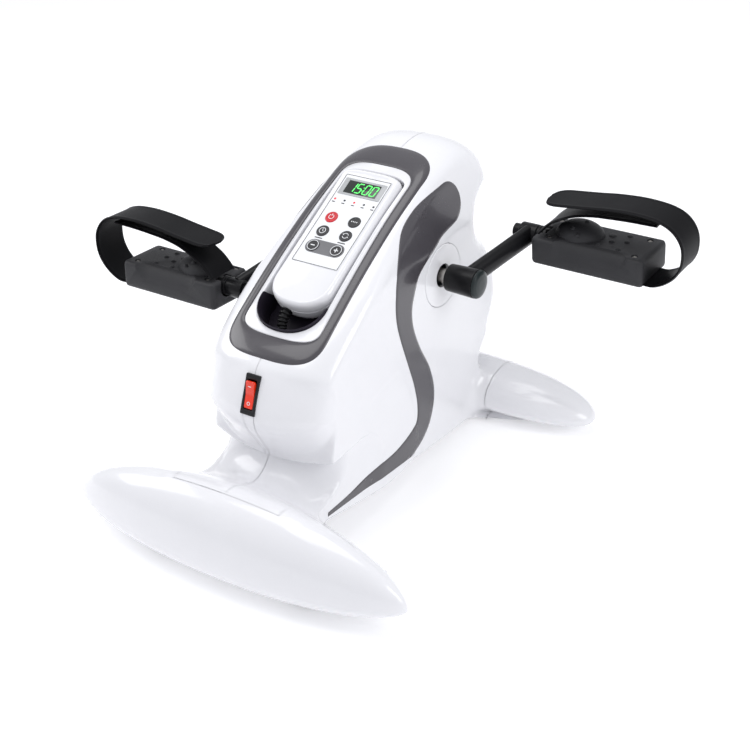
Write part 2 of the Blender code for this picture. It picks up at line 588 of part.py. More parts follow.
def frame_and_drive():
    """The welded frame, motor, belt and shaft inside the covers."""
    cylinder("front_cross_tube", 0.015, 0.300, "frame_black", along_x(-0.150, FRONT_Y, 0.032), 20)
    cylinder("rear_cross_tube", TUBE_R, 0.252, "frame_black", along_x(-0.126, REAR_Y, 0.0265), 20)
    place, run = spine_frame()
    spine = box("frame_spine", (-0.015, 0, -0.010), (0.015, run, 0.010), "frame_black", matrix=place)
    joined(spine, box("front_joint", (-0.013, -0.1905, 0.0473), (0.013, -0.1600, 0.0660)))
    column = box("axle_stand", (-0.012, 0.080, 0.0520), (0.012, 0.112, 0.190), "frame_black")
    barrel = cylinder("axle_barrel", 0.021, 0.080, matrix=along_x(-0.060, CRANK_Y, CRANK_Z), sides=24)
    joined(column, barrel)
    boolean(column, cylinder("barrel_bore", 0.0165, 0.10, matrix=along_x(-0.070, CRANK_Y, CRANK_Z), sides=24))
    for name, x in (("left_bearing", -0.0595), ("right_bearing", 0.0095)):
        turned(name, ring_profile(0.00762, 0.0161, 0, 0.010), "steel", along_x(x, CRANK_Y, CRANK_Z), 32)
    cylinder("crankshaft", SHAFT_R, 0.2100, "steel", along_x(-0.105, CRANK_Y, CRANK_Z), 24)
    hub = 0.0078
    wheel = [(0.016, 0.0130), (0.016, 0.0100), (DRIVEN_R, 0.0100), (DRIVEN_R, -0.0010),
             (0.016, -0.0010), (0.016, -0.0030), (hub, -0.0030), (hub, 0.0130)]
    turned("driven_pulley", wheel, "steel", along_x(BELT_X[0], CRANK_Y, CRANK_Z), 32)
    small = [(0, 0.0110), (MOTOR_PULLEY_R, 0.0110), (MOTOR_PULLEY_R, -0.0020), (0.004, -0.0020),
             (0.004, -0.0050), (0, -0.0050)]
    turned("motor_pulley", small, "steel", along_x(BELT_X[0], MOTOR_Y, MOTOR_Z), 24)
    can = [(0, 0.0240), (0.014, 0.0240), (0.014, 0.0210), (0.028, 0.0210), (0.028, 0.0), (0.026, -0.002),
           (0.026, -0.048), (0.023, -0.051), (0, -0.051)]
    turned("gear_motor", can, "steel", along_x(0, MOTOR_Y, MOTOR_Z), 20)
    box("motor_bracket", (-0.022, MOTOR_Y - 0.024, 0.0605), (0.014, MOTOR_Y + 0.020, 0.0760),
        "frame_black", 0.001)
    belt()
    board = Matrix.Translation((0, -0.070, 0.150)) @ Matrix.Rotation(math.radians(80), 4, "X")
    box("control_board", (-0.040, -0.030, 0), (0.040, 0.030, 0.0016), "board_green", matrix=board)


def belt():
    """A closed band round both pulleys, standing just clear of them."""
    span = Vector((MOTOR_Y - CRANK_Y, MOTOR_Z - CRANK_Z))
    heading = math.atan2(span.y, span.x)
    rings = []
    for grow, x in ((0.0023, BELT_X[0]), (0.0023, BELT_X[1]), (0.0005, BELT_X[1]), (0.0005, BELT_X[0])):
        big, small = DRIVEN_R + grow, MOTOR_PULLEY_R + grow
        wrap = math.acos((big - small) / span.length)
        ring = []
        for centre, radius, first, last, count in (
                ((CRANK_Y, CRANK_Z), big, heading + wrap, heading + 2 * math.pi - wrap, 28),
                ((MOTOR_Y, MOTOR_Z), small, heading - wrap, heading + wrap, 8)):
            for i in range(count + 1):
                angle = first + (last - first) * i / count
                ring.append((x, centre[0] + radius * math.cos(angle), centre[1] + radius * math.sin(angle)))
        rings.append(ring)
    loft("drive_belt", rings, "rubber", closed=True)


def feet():
    """The wide front foot, the two rear foot ends and the four rubber pads."""
    pod = loft("front_foot", pod_rings(), "white_gloss", smooth=True)
    boolean(pod, loft("pod_hollow", pod_rings(-WALL)[1:-1]))
    boolean(pod, box("pod_base_cut", (-0.120, FRONT_Y - 0.018, -0.01), (0.120, FRONT_Y + 0.018, 0.020)))
    boolean(pod, box("spine_way", (-0.0165, FRONT_Y - 0.003, 0.0462), (0.0165, FRONT_Y + 0.06, 0.120)))
    for side, word in ((1, "right"), (-1, "left")):
        rings = rear_tip_rings(side, 0.0, SLEEVE_END + GAP)
        tip = loft("rear_foot_" + word, rings, "white_gloss", smooth=True)
        boolean(tip, loft("tip_hollow_" + word, rear_tip_rings(side, WALL, SLEEVE_END - 0.004)))
        for y, place in ((FRONT_Y, "front"), (REAR_Y, "rear")):
            low, high, rise = PADS[place]
            name = f"{place}_{word}_pad"
            ends = sorted((side * low, side * high))
            box(name, (ends[0], y - PAD_HALF, 0), (ends[1], y + PAD_HALF, rise), "rubber", 0.0015)
            if place == "rear":
                room = PAD_HALF + GAP
                way = box(name + "_way", (ends[0] - GAP, y - room, -0.01), (ends[1] + GAP, y + room, 0.014))
                boolean(tip, way)


def cranks():
    """Both cranks with their caps, pedal axles, pedals and straps."""
    for side, word in ((1, "right"), (-1, "left")):
        rise = Vector((0, math.cos(CRANK_RISE), math.sin(CRANK_RISE))) * side * CRANK_THROW
        turn = Matrix.Identity(4) if side > 0 else Matrix.Rotation(math.pi, 4, "Z")
        centre = Vector((0, CRANK_Y, CRANK_Z))
        at_axis = Matrix.Translation(centre) @ turn @ Matrix.Rotation(math.pi / 2, 4, "Y")
        at_end = Matrix.Translation(centre + rise) @ turn @ Matrix.Rotation(math.pi / 2, 4, "Y")
        boss = cylinder(word + "_crank", 0.0142, 0.0324, "black_gloss",
                        at_axis @ Matrix.Translation((0, 0, 0.080)), 24, 0.0151)
        start = centre + Vector((side * 0.099, 0, 0))
        end = centre + rise + Vector((side * 0.120, 0, 0))
        aim = (end - start).to_track_quat("Z", "Y").to_matrix().to_4x4()
        aim = Matrix.Translation(start) @ aim @ Matrix.Diagonal((1, ARM_DEEP / ARM_WIDE, 1, 1))
        bar = cylinder(word + "_bar", ARM_WIDE / 2, (end - start).length, matrix=aim, sides=20)
        at_eye = at_end @ Matrix.Translation((0, 0, 0.110))
        eye = cylinder(word + "_eye", 0.0102, 0.020, matrix=at_eye, sides=24)
        joined(boss, bar, eye)
        boolean(boss, cylinder(word + "_bore", SHAFT_R + GAP, 0.0265,
                               matrix=at_axis @ Matrix.Translation((0, 0, 0.079)), sides=24))
        eye_way = at_end @ Matrix.Translation((0, 0, 0.100))
        boolean(boss, cylinder(word + "_eye_bore", 0.0063, 0.04, matrix=eye_way, sides=24))
        cap = [(0, 0.0046), (0.007, 0.0042), (0.0125, 0.0030), (0.0148, 0.0010), (0.0148, 0.0), (0, 0.0)]
        turned(word + "_crank_cap", cap, "grey_gloss", at_axis @ Matrix.Translation((0, 0, 0.1127)), 24)
        spindle = [(0, 0.2480), (0.006, 0.2480), (0.006, 0.1420), (0.0085, 0.1420), (0.0085, 0.1365),
                   (0.0100, 0.1365), (0.0100, 0.1303), (0.006, 0.1303), (0.006, 0.1097), (0.0072, 0.1097),
                   (0.0072, 0.1025), (0, 0.1025)]
        turned(word + "_spindle", spindle, "black_gloss", at_end, 16)
        pedal(word, side, centre + rise)


def pedal(word, side, centre):
    """A foot block turning on its spindle, with a two-piece strap. Own axes: out, rearward, up."""
    tilt = Matrix.Rotation(PEDAL_TILT[side], 4, "X")
    place = Matrix.Translation(centre) @ tilt @ Matrix.Diagonal((side, 1, 1, 1))
    rigid = Matrix.Translation(centre) @ tilt
    low, high = sorted((side * PEDAL_IN, side * PEDAL_OUT))
    block = box(word + "_pedal", (low, -0.024, -0.021), (high, 0.034, 0.008), "charcoal", 0.005, rigid)
    bm = bmesh.new()
    bmesh.ops.create_uvsphere(bm, u_segments=14, v_segments=8, radius=1)
    bmesh.ops.scale(bm, vec=TOE_SIZE, verts=bm.verts)
    at_toe = Matrix.Translation((side * TOE_PLACE[0], TOE_PLACE[1], TOE_PLACE[2]))
    bump = from_bmesh(word + "_toe_bump", bm, matrix=rigid @ at_toe)
    joined(block, bump)
    turn = Matrix.Identity(4) if side > 0 else Matrix.Rotation(math.pi, 4, "Z")
    out = Matrix.Translation(centre) @ turn @ Matrix.Rotation(math.pi / 2, 4, "Y")
    way_in = out @ Matrix.Translation((0, 0, 0.130))
    boolean(block, cylinder(word + "_pedal_bore", 0.00617, 0.120, matrix=way_in, sides=20))
    boolean(block, cylinder(word + "_pedal_mouth", 0.0118, 0.0125, matrix=way_in, sides=24))
    outer = [(0.2590, -0.0180), (0.2670, -0.0174), (0.2780, -0.0120), (0.2880, -0.0030), (0.2940, 0.0080),
             (0.2958, 0.0200), (0.2945, 0.0310), (0.2895, 0.0405), (0.2815, 0.0478), (0.2710, 0.0522),
             (0.2580, 0.0545), (0.2370, 0.0553), (0.2120, 0.0535), (0.1900, 0.0505), (0.1650, 0.0475),
             (0.1430, 0.0450)]
    inner = [(0.1390, 0.0115), (0.1465, 0.0200), (0.1565, 0.0280), (0.1770, 0.0380), (0.1980, 0.0430),
             (0.2180, 0.0450), (0.2380, 0.0463), (0.2550, 0.0468), (0.2680, 0.0472)]
    for name, path in ((word + "_strap_outer", outer), (word + "_strap_inner", inner)):
        band(name, path, place)


def band(name, path, place):
    """A rubber strap: a wide flat section carried along a path of (out, up)."""
    half, thick = 0.021, 0.0012
    rings = []
    for i, here in enumerate(path):
        before, after = path[max(i - 1, 0)], path[min(i + 1, len(path) - 1)]
        along = Vector((after[0] - before[0], after[1] - before[1])).normalized()
        wide = half * (0.62 if i == len(path) - 1 else 1)
        ring = []
        for a, k in ((-wide, -1), (wide, -1), (wide, 1), (-wide, 1)):
            ring.append(place @ Vector((here[0] - along.y * thick * k, a, here[1] + along.x * thick * k)))
        rings.append(ring)
    loft(name, rings, "rubber")


casing()
stripe("right_stripe", 1)
stripe("left_stripe", -1)
console()
handset()
cord()
switch()
frame_and_drive()
feet()
cranks()
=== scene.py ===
"""Visual model of the motorised pedal exerciser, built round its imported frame."""
import math

import bmesh
import bpy
import numpy as np
from mathutils import Matrix, Vector
from mathutils.bvhtree import BVHTree


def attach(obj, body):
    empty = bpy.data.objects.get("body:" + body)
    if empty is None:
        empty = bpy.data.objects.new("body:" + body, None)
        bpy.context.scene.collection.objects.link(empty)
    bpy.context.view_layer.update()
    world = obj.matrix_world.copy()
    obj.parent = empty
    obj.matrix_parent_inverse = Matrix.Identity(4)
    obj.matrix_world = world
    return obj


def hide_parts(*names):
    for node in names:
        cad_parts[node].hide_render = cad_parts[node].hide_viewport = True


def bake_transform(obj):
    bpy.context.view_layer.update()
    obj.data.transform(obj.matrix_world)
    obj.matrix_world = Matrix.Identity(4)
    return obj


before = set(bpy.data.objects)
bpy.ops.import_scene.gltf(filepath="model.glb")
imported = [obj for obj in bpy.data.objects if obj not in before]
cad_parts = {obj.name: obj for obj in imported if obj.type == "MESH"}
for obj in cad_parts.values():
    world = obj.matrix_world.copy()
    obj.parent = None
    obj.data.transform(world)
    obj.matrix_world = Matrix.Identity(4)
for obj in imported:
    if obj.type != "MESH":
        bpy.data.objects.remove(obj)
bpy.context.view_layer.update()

# ---------------------------------------------------------------- camera and stage
VIEW_AZIMUTH, VIEW_ELEVATION, VIEW_PITCH = 33.9023, 26.2519, -7.8
CAMERA_PLACE = Vector((0.82207, -1.05029, 0.96687))
LENS, SENSOR = 74.43, 36
# name: place, point it faces, size, power
LIGHTS = {
    "top": ((-0.15, 0.1, 1.5), (0, 0, 0.1), (1.3, 0.9), 8),
    "left": ((-1.45, -0.3, 1.1), (0, 0, 0.15), (0.9, 0.9), 7),
    "right": ((1.5, 0.1, 1.0), (0, 0, 0.15), (0.6, 1.0), 7),
}
SKY, SKY_POWER, FLOOR, FLOOR_GLOW = (0.95, 0.96, 1.0, 1), 0.70, (0.93, 0.93, 0.94), 0.22


def camera():
    """A camera that looks down on the right front corner and leans a little."""
    a, e = math.radians(VIEW_AZIMUTH), math.radians(VIEW_ELEVATION)
    back = Vector((math.sin(a) * math.cos(e), -math.cos(a) * math.cos(e), math.sin(e)))
    right = Vector((math.cos(a), math.sin(a), 0))
    level = Matrix((right, back.cross(right), back)).transposed()
    turned = Matrix.Rotation(math.radians(VIEW_PITCH), 3, "X") @ level
    data = bpy.data.cameras.new("camera")
    data.lens, data.sensor_width = LENS, SENSOR
    eye = bpy.data.objects.new("camera", data)
    eye.matrix_world = Matrix.Translation(CAMERA_PLACE) @ turned.to_4x4()
    bpy.context.scene.collection.objects.link(eye)
    bpy.context.scene.camera = eye


def area_light(name, place, aim, size, power):
    """A soft rectangular light at a place, turned towards a point."""
    data = bpy.data.lights.new(name, "AREA")
    data.shape, data.size, data.size_y, data.energy = "RECTANGLE", *size, power
    lamp = bpy.data.objects.new(name, data)
    lamp.location = place
    lamp.rotation_mode = "QUATERNION"
    lamp.rotation_quaternion = (Vector(aim) - Vector(place)).to_track_quat("-Z", "Y")
    bpy.context.scene.collection.objects.link(lamp)


def studio():
    """A pale floor, a pale sky and soft light from above and both sides."""
    bpy.context.scene.view_settings.view_transform = "Standard"
    world = bpy.data.worlds.new("studio")
    world.use_nodes = True
    sky = world.node_tree.nodes["Background"]
    sky.inputs["Color"].default_value = SKY
    sky.inputs["Strength"].default_value = SKY_POWER
    bpy.context.scene.world = world
    for name, facts in LIGHTS.items():
        area_light(name, *facts)
    bm = bmesh.new()
    bmesh.ops.create_grid(bm, x_segments=2, y_segments=2, size=30)
    floor = mesh_object("floor", bm)
    made, shader = surface("floor", FLOOR, 0.6, 0.0, 0.0, 90, 0.005, 0.004)
    lit(shader, (1, 1, 1), FLOOR_GLOW)
    floor.data.materials.append(made)


# ---------------------------------------------------------------- mesh helpers
def mesh_object(name, bm, look=None, body=None, replaces=(), smooth=None, matrix=None):
    """An object from a bmesh, with its material, body, replaced nodes and smoothing angle."""
    mesh = bpy.data.meshes.new(name)
    bmesh.ops.recalc_face_normals(bm, faces=bm.faces)
    bm.to_mesh(mesh)
    bm.free()
    return dress(bpy.data.objects.new(name, mesh), look, body, replaces, smooth, matrix)


def dress(piece, look=None, body=None, replaces=(), smooth=None, matrix=None):
    """Links a new object and gives it what makes it part of the model."""
    bpy.context.scene.collection.objects.link(piece)
    if matrix is not None:
        piece.matrix_world = matrix
    if look is not None:
        piece.data.materials.append(LOOKS[look])
    if smooth is not None:
        piece.data.shade_smooth()
        piece.data.set_sharp_from_angle(angle=math.radians(smooth))
    if body:
        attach(piece, body)
    if replaces:
        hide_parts(*replaces)
    return piece


def loft(rings, closed=False, caps=True):
    """A skin over rings of equally many points; capped, or joined last to first."""
    bm = bmesh.new()
    rows = [[bm.verts.new(point) for point in ring] for ring in rings]
    for low, high in list(zip(rows, rows[1:])) + ([(rows[-1], rows[0])] if closed else []):
        for i in range(len(low)):
            j = (i + 1) % len(low)
            bm.faces.new((low[i], low[j], high[j], high[i]))
    if caps and not closed:
        bm.faces.new(rows[0])
        bm.faces.new(rows[-1])
    return bm


def merged(*parts):
    """One bmesh that holds several, each with an optional matrix: (bm, matrix)."""
    whole = bmesh.new()
    for bm, matrix in parts:
        if matrix is not None:
            bm.transform(matrix)
        mesh = bpy.data.meshes.new("part")
        bm.to_mesh(mesh)
        bm.free()
        whole.from_mesh(mesh)
        bpy.data.meshes.remove(mesh)
    return whole


def together(parts):
    """One bmesh that holds several where they are."""
    return merged(*[(bm, None) for bm in parts])


def filleted(points, radius, closed=False, steps=4):
    """A polyline with its corners rounded."""
    points = [Vector(p) for p in points]
    out = []
    for i, here in enumerate(points):
        if not closed and i in (0, len(points) - 1):
            out.append(here)
            continue
        before, after = points[i - 1] - here, points[(i + 1) % len(points)] - here
        a = here + before.normalized() * min(radius, before.length * 0.48)
        b = here + after.normalized() * min(radius, after.length * 0.48)
        for k in range(steps + 1):
            t = k / steps
            out.append(a * (1 - t) ** 2 + here * 2 * t * (1 - t) + b * t * t)
    return out


def turned(profile, sides=48, radius=0.0006, steps=3):
    """A profile of (radius, height) with softened corners, turned round Z."""
    rings = []
    for r, height in filleted(profile, radius, steps=steps):
        r = max(r, 0.00002)
        rings.append([(r * math.cos(2 * math.pi * i / sides), r * math.sin(2 * math.pi * i / sides), height)
                      for i in range(sides)])
    return loft(rings)


def grown(outline, amount):
    """A closed counter-clockwise outline moved outward by an amount."""
    out = []
    for i, here in enumerate(outline):
        before, after = outline[i - 1], outline[(i + 1) % len(outline)]
        along = Vector((after[0] - before[0], after[1] - before[1])).normalized()
        out.append((here[0] + along.y * amount, here[1] - along.x * amount))
    return out


def levels(outline, profile):
    """Rings of one outline, each moved outward by grow and set at a height, from (grow, height)."""
    return [[(x, y, height) for x, y in grown(outline, grow)] for grow, height in profile]


def stacked(outline, profile, closed=False):
    """A skin over the levels of one outline."""
    return loft(levels(outline, profile), closed)


def oblong(x0, y0, x1, y1, radius, steps=6):
    """A rounded rectangle, counter-clockwise."""
    out = []
    for cx, cy, start in ((x1 - radius, y1 - radius, 0), (x0 + radius, y1 - radius, 90),
                          (x0 + radius, y0 + radius, 180), (x1 - radius, y0 + radius, 270)):
        for k in range(steps + 1):
            angle = math.radians(start + 90 * k / steps)
            out.append((cx + radius * math.cos(angle), cy + radius * math.sin(angle)))
    return out


def pillowed(low, high, edge, steps=3):
    """The side profile, as (grow, height), of a plate with a rounded upper edge."""
    turns = [math.pi / 2 * k / steps for k in range(steps + 1)]
    return [(0, low)] + [(edge * (math.cos(t) - 1), high - edge + edge * math.sin(t)) for t in turns]


def smooth_route(points, spacing):
    """Points about a spacing apart on a smooth curve through a route."""
    ends = [2 * Vector(points[0]) - Vector(points[1])] + [Vector(p) for p in points]
    ends.append(2 * ends[-1] - ends[-2])
    out = []
    for a, b, c, d in zip(ends, ends[1:], ends[2:], ends[3:]):
        pieces = max(1, round((c - b).length / spacing))
        for k in range(pieces):
            t = k / pieces
            out.append(0.5 * ((2 * b) + (c - a) * t + (2 * a - 5 * b + 4 * c - d) * t * t
                              + (3 * b - a - 3 * c + d) * t ** 3))
    return out + [ends[-2]]


def along_x(x, y=0.0, z=0.0):
    """A frame at (x, y, z) whose own Z points along world +X."""
    return Matrix.Translation((x, y, z)) @ Matrix.Rotation(math.pi / 2, 4, "Y")


# ---------------------------------------------------------------- materials
LOOK_TABLE = {
    # name: (slot, colour, roughness, metallic, coat, grain size, grain depth, colour drift)
    "white": ("casing_white", (0.80, 0.80, 0.825), 0.20, 0.0, 0.55, 260, 0.010, 0.012),
    "grey": ("trim_grey", (0.056, 0.052, 0.060), 0.24, 0.0, 0.35, 300, 0.012, 0.05),
    "charcoal": ("pedal_charcoal", (0.034, 0.034, 0.037), 0.50, 0.0, 0.0, 2600, 0.16, 0.14),
    "black": ("crank_black", (0.006, 0.006, 0.007), 0.30, 0.0, 0.10, 900, 0.03, 0.2),
    "cap": ("pedal_charcoal", (0.012, 0.018, 0.019), 0.30, 0.0, 0.1, 1400, 0.05, 0.12),
    "strap": ("strap_rubber", (0.006, 0.006, 0.007), 0.42, 0.0, 0.0, 1500, 0.10, 0.2),
    "cord": ("cord_rubber", (0.012, 0.012, 0.013), 0.42, 0.0, 0.0, 1900, 0.08, 0.2),
    "pad": ("pad_rubber", (0.020, 0.020, 0.021), 0.75, 0.0, 0.0, 1200, 0.20, 0.2),
    "steel": ("steel", (0.52, 0.50, 0.47), 0.30, 1.0, 0.0, 1600, 0.05, 0.15),
    "frame": ("frame_paint", (0.020, 0.020, 0.021), 0.45, 0.0, 0.1, 700, 0.12, 0.2),
    "switch": ("switch_black", (0.012, 0.012, 0.013), 0.34, 0.0, 0.0, 2200, 0.05, 0.2),
    "red": ("switch_red", (0.62, 0.022, 0.006), 0.16, 0.0, 0.4, 500, 0.02, 0.25),
    "label": ("label_print", (0.80, 0.81, 0.83), 0.34, 0.0, 0.0, 1500, 0.03, 0.02),
    "ink": ("button_black", (0.030, 0.030, 0.034), 0.45, 0.0, 0.0, 1500, 0.03, 0.2),
    "silver": ("label_print", (0.42, 0.43, 0.44), 0.30, 0.0, 0.1, 1200, 0.04, 0.1),
    "pill": ("label_print", (0.15, 0.15, 0.16), 0.34, 0.0, 0.0, 1500, 0.03, 0.1),
    # well: a dark violet grey that paints the shade inside the deep cord pocket
    "well": ("trim_grey", (0.022, 0.018, 0.028), 0.40, 0.0, 0.0, 900, 0.05, 0.2),
    "glass": ("display_glass", (0.006, 0.010, 0.008), 0.10, 0.0, 0.5, 300, 0.01, 0.3),
    "key_black": ("button_black", (0.016, 0.016, 0.018), 0.40, 0.0, 0.0, 2200, 0.06, 0.2),
    "key_red": ("button_red", (0.55, 0.010, 0.020), 0.38, 0.0, 0.0, 2200, 0.06, 0.12),
    "board": ("board_green", (0.015, 0.14, 0.045), 0.40, 0.0, 0.2, 900, 0.05, 0.3),
}
# specular level of the dull looks; the others have the usual 0.5
DULL = {"strap": 0.08, "cord": 0.2, "charcoal": 0.25, "black": 0.15, "cap": 0.25, "switch": 0.3, "well": 0.2}
SLOTS = {name: row[0] for name, row in LOOK_TABLE.items()}
LOOKS = {}


def noise(tree, scale, detail):
    """A noise texture on the piece's own coordinates."""
    where = tree.nodes.new("ShaderNodeTexCoord")
    node = tree.nodes.new("ShaderNodeTexNoise")
    node.inputs["Scale"].default_value = scale
    node.inputs["Detail"].default_value = detail
    tree.links.new(where.outputs["Object"], node.inputs["Vector"])
    return node


def surface(name, colour, roughness, metallic, coat, size, depth, drift):
    """A moulded surface: grain, and patches of tone and gloss."""
    made = bpy.data.materials.new(name)
    made.use_nodes = True
    tree = made.node_tree
    shader = tree.nodes["Principled BSDF"]
    shader.inputs["Metallic"].default_value = metallic
    shader.inputs["Coat Weight"].default_value = coat
    shader.inputs["Coat Roughness"].default_value = 0.06
    patches, grain = noise(tree, 22, 4), noise(tree, size, 3)
    tones = tree.nodes.new("ShaderNodeMix")
    tones.data_type = "RGBA"
    for key, share in (("A", 1 - drift), ("B", 1 + drift)):
        tones.inputs[key].default_value = (*[min(c * share, 1) for c in colour], 1)
    both = tree.nodes.new("ShaderNodeMath")
    both.operation = "MULTIPLY_ADD"
    tree.links.new(grain.outputs["Fac"], both.inputs[0])
    both.inputs[1].default_value = 0.45
    tree.links.new(patches.outputs["Fac"], both.inputs[2])
    spread = tree.nodes.new("ShaderNodeMapRange")
    for key, value in (("From Min", 0.45), ("From Max", 0.98), ("To Min", 0), ("To Max", 1)):
        spread.inputs[key].default_value = value
    tree.links.new(both.outputs["Value"], spread.inputs["Value"])
    tree.links.new(spread.outputs["Result"], tones.inputs["Factor"])
    tree.links.new(tones.outputs["Result"], shader.inputs["Base Color"])
    gloss = tree.nodes.new("ShaderNodeMapRange")
    gloss.inputs["To Min"].default_value = roughness * 0.82
    gloss.inputs["To Max"].default_value = roughness * 1.18
    tree.links.new(spread.outputs["Result"], gloss.inputs["Value"])
    tree.links.new(gloss.outputs["Result"], shader.inputs["Roughness"])
    bump = tree.nodes.new("ShaderNodeBump")
    bump.inputs["Strength"].default_value = min(1, depth * 4)
    bump.inputs["Distance"].default_value = 0.00025
    tree.links.new(grain.outputs["Fac"], bump.inputs["Height"])
    tree.links.new(bump.outputs["Normal"], shader.inputs["Normal"])
    return made, shader


def lit(shader, colour, power):
    """Makes a surface glow."""
    shader.inputs["Emission Color"].default_value = (*colour, 1)
    shader.inputs["Emission Strength"].default_value = power


def materials():
    """Every surface of the machine, and the lit ones of its handset and switch."""
    for name, (_, *facts) in LOOK_TABLE.items():
        LOOKS[name], shader = surface(name, *facts)
        shader.inputs["Specular IOR Level"].default_value = DULL.get(name, 0.5)
        if name == "red":
            lit(shader, (1.0, 0.06, 0.01), 0.20)
    for name, slot, colour, power in (("digit", "display_glass", (0.10, 0.80, 0.14), 0.9),
                                      ("lamp", "button_red", (0.9, 0.02, 0.03), 0.5)):
        LOOKS[name], shader = surface(name, colour, 0.3, 0.0, 0.0, 1500, 0.02, 0.1)
        lit(shader, colour, power)
        SLOTS[name] = slot


# ---------------------------------------------------------------- casing form
HALF_WIDTH = 0.0718
FRONT_Y, REAR_Y, FOOT_HALF = -0.1886, 0.1776, 0.1989
SLEEVE_END, REAR_SAG, FLOOR_GAP = 0.0865, 0.0110, 0.0008
REAR_PROFILE = [
    (0.161, 0.0024, 0.003, 2.0), (0.166, 0.030, 0.012, 2.0),
    (0.173, 0.060, 0.022, 2.0), (0.195, 0.072, 0.038, 2.0), (0.219, 0.098, 0.045, 2.0),
    (0.230, 0.123, 0.045, 2.0), (0.230, 0.149, 0.045, 2.0), (0.224, 0.1734, 0.042, 2.0),
    (0.209, 0.1975, 0.038, 2.0), (0.193, 0.2165, 0.036, 2.0), (0.190, 0.2300, 0.036, 2.2),
    (0.202, 0.2400, 0.036, 2.4), (0.2145, 0.249, 0.036, 2.6), (0.2195, 0.264, 0.036, 2.8),
    (0.216, 0.283, 0.035, 2.8), (0.206, 0.297, 0.034, 2.8), (0.188, 0.3078, 0.032, 2.8),
    (0.167, 0.3120, 0.030, 3.0), (0.145, 0.3105, 0.026, 3.2), (0.1096, 0.3045, 0.022, 3.5),
    (0.0735, 0.2930, 0.022, 3.5), (0.0362, 0.2782, 0.022, 3.5), (-0.0105, 0.2560, 0.022, 3.5),
    (-0.054, 0.2330, 0.022, 3.5), (-0.085, 0.2170, 0.024, 3.0), (-0.1144, 0.2021, 0.030, 2.4),
    (-0.126, 0.191, 0.036, 2.0), (-0.1375, 0.1705, 0.038, 2.0), (-0.1440, 0.1545, 0.040, 2.0),
    (-0.1425, 0.1385, 0.040, 2.0), (-0.1345, 0.1220, 0.040, 2.0), (-0.1250, 0.1035, 0.034, 2.0),
]
BELLY_EDGE = [
    (-0.1215, 0.0955, 0.012, 2.0), (-0.1000, 0.0985, 0.003, 2.0), (-0.072, 0.0990, 0.003, 2.0),
    (-0.050, 0.0960, 0.003, 2.0), (-0.038, 0.0800, 0.003, 2.0), (-0.034, 0.0550, 0.003, 2.0),
    (-0.032, 0.0302, 0.003, 2.0),
]
NECK_PROFILE = [
    (-0.148, 0.0470, 0.003, 2.0), (0.020, 0.0228, 0.003, 2.0), (0.020, 0.150, 0.02, 2.0),
    (-0.080, 0.150, 0.03, 2.0), (-0.1150, 0.1200, 0.036, 2.0), (-0.1200, 0.1000, 0.034, 1.8),
    (-0.1262, 0.0905, 0.032, 1.7), (-0.1350, 0.0840, 0.028, 1.7), (-0.148, 0.0797, 0.024, 1.7),
    (-0.165, 0.0800, 0.020, 1.7), (-0.183, 0.0820, 0.012, 1.7), (-0.186, 0.0700, 0.006, 2.0),
    (-0.168, 0.0560, 0.004, 2.0),
]
LEAN_Z = (0.222, 0.238, 0.255, 0.272, 0.290, 0.316)
LEAN_SHARE = (1.0, 0.985, 0.93, 0.87, 0.82, 0.79)
STEP = 0.0018


def rounded(points, per_span=6):
    """Points on a closed Catmull-Rom curve; every column is blended."""
    table = np.array(points, float)
    out = []
    for i in range(len(table)):
        a, b, c, d = (table[(i + k) % len(table)] for k in (-1, 0, 1, 2))
        for t in np.arange(per_span) / per_span:
            out.append(0.5 * (2 * b + (c - a) * t + (2 * a - 5 * b + 4 * c - d) * t * t
                              + (3 * b - a - 3 * c + d) * t ** 3))
    return np.array(out)


def outline_field(points, ys, zs):
    """Depth inside a closed outline on a grid of y and z, with the nearest rounding and power."""
    line = rounded(points)
    y, z = (v.ravel() for v in np.meshgrid(ys, zs, indexing="ij"))
    best = np.full(y.shape, 1e9)
    near = np.zeros((2, y.size))
    inside = np.zeros(y.shape, bool)
    for p, q in zip(line, np.roll(line, -1, axis=0)):
        span = q[:2] - p[:2]
        t = np.clip(((y - p[0]) * span[0] + (z - p[1]) * span[1]) / max(span @ span, 1e-12), 0, 1)
        away = np.hypot(y - p[0] - t * span[0], z - p[1] - t * span[1])
        closer = away < best
        best = np.where(closer, away, best)
        for k in (0, 1):
            near[k] = np.where(closer, p[2 + k] + t * (q[2 + k] - p[2 + k]), near[k])
        crosses = (p[1] > z) != (q[1] > z)
        if abs(span[1]) > 1e-12:
            inside ^= crosses & (y < p[0] + (z - p[1]) * span[0] / span[1])
    shape = (len(ys), len(zs))
    depth = np.where(inside, best, -best).reshape(shape)
    return depth, blurred(near[0].reshape(shape), 3), blurred(near[1].reshape(shape), 3)


def blurred(values, times):
    """A table of values smoothed along both axes."""
    for _ in range(times):
        for axis in (0, 1):
            padded = np.concatenate([values.take([0], axis), values, values.take([-1], axis)], axis)
            n = values.shape[axis]
            values = (padded.take(range(0, n), axis) + 2 * padded.take(range(1, n + 1), axis)
                      + padded.take(range(2, n + 2), axis)) / 4
    return values


def as_distance(g):
    """A field that is below 1 inside, turned into about a signed distance, positive inside."""
    slopes = np.gradient(g, STEP)
    steep = np.sqrt(sum(s * s for s in slopes))
    return (1 - g) / np.maximum(steep, 2.0)


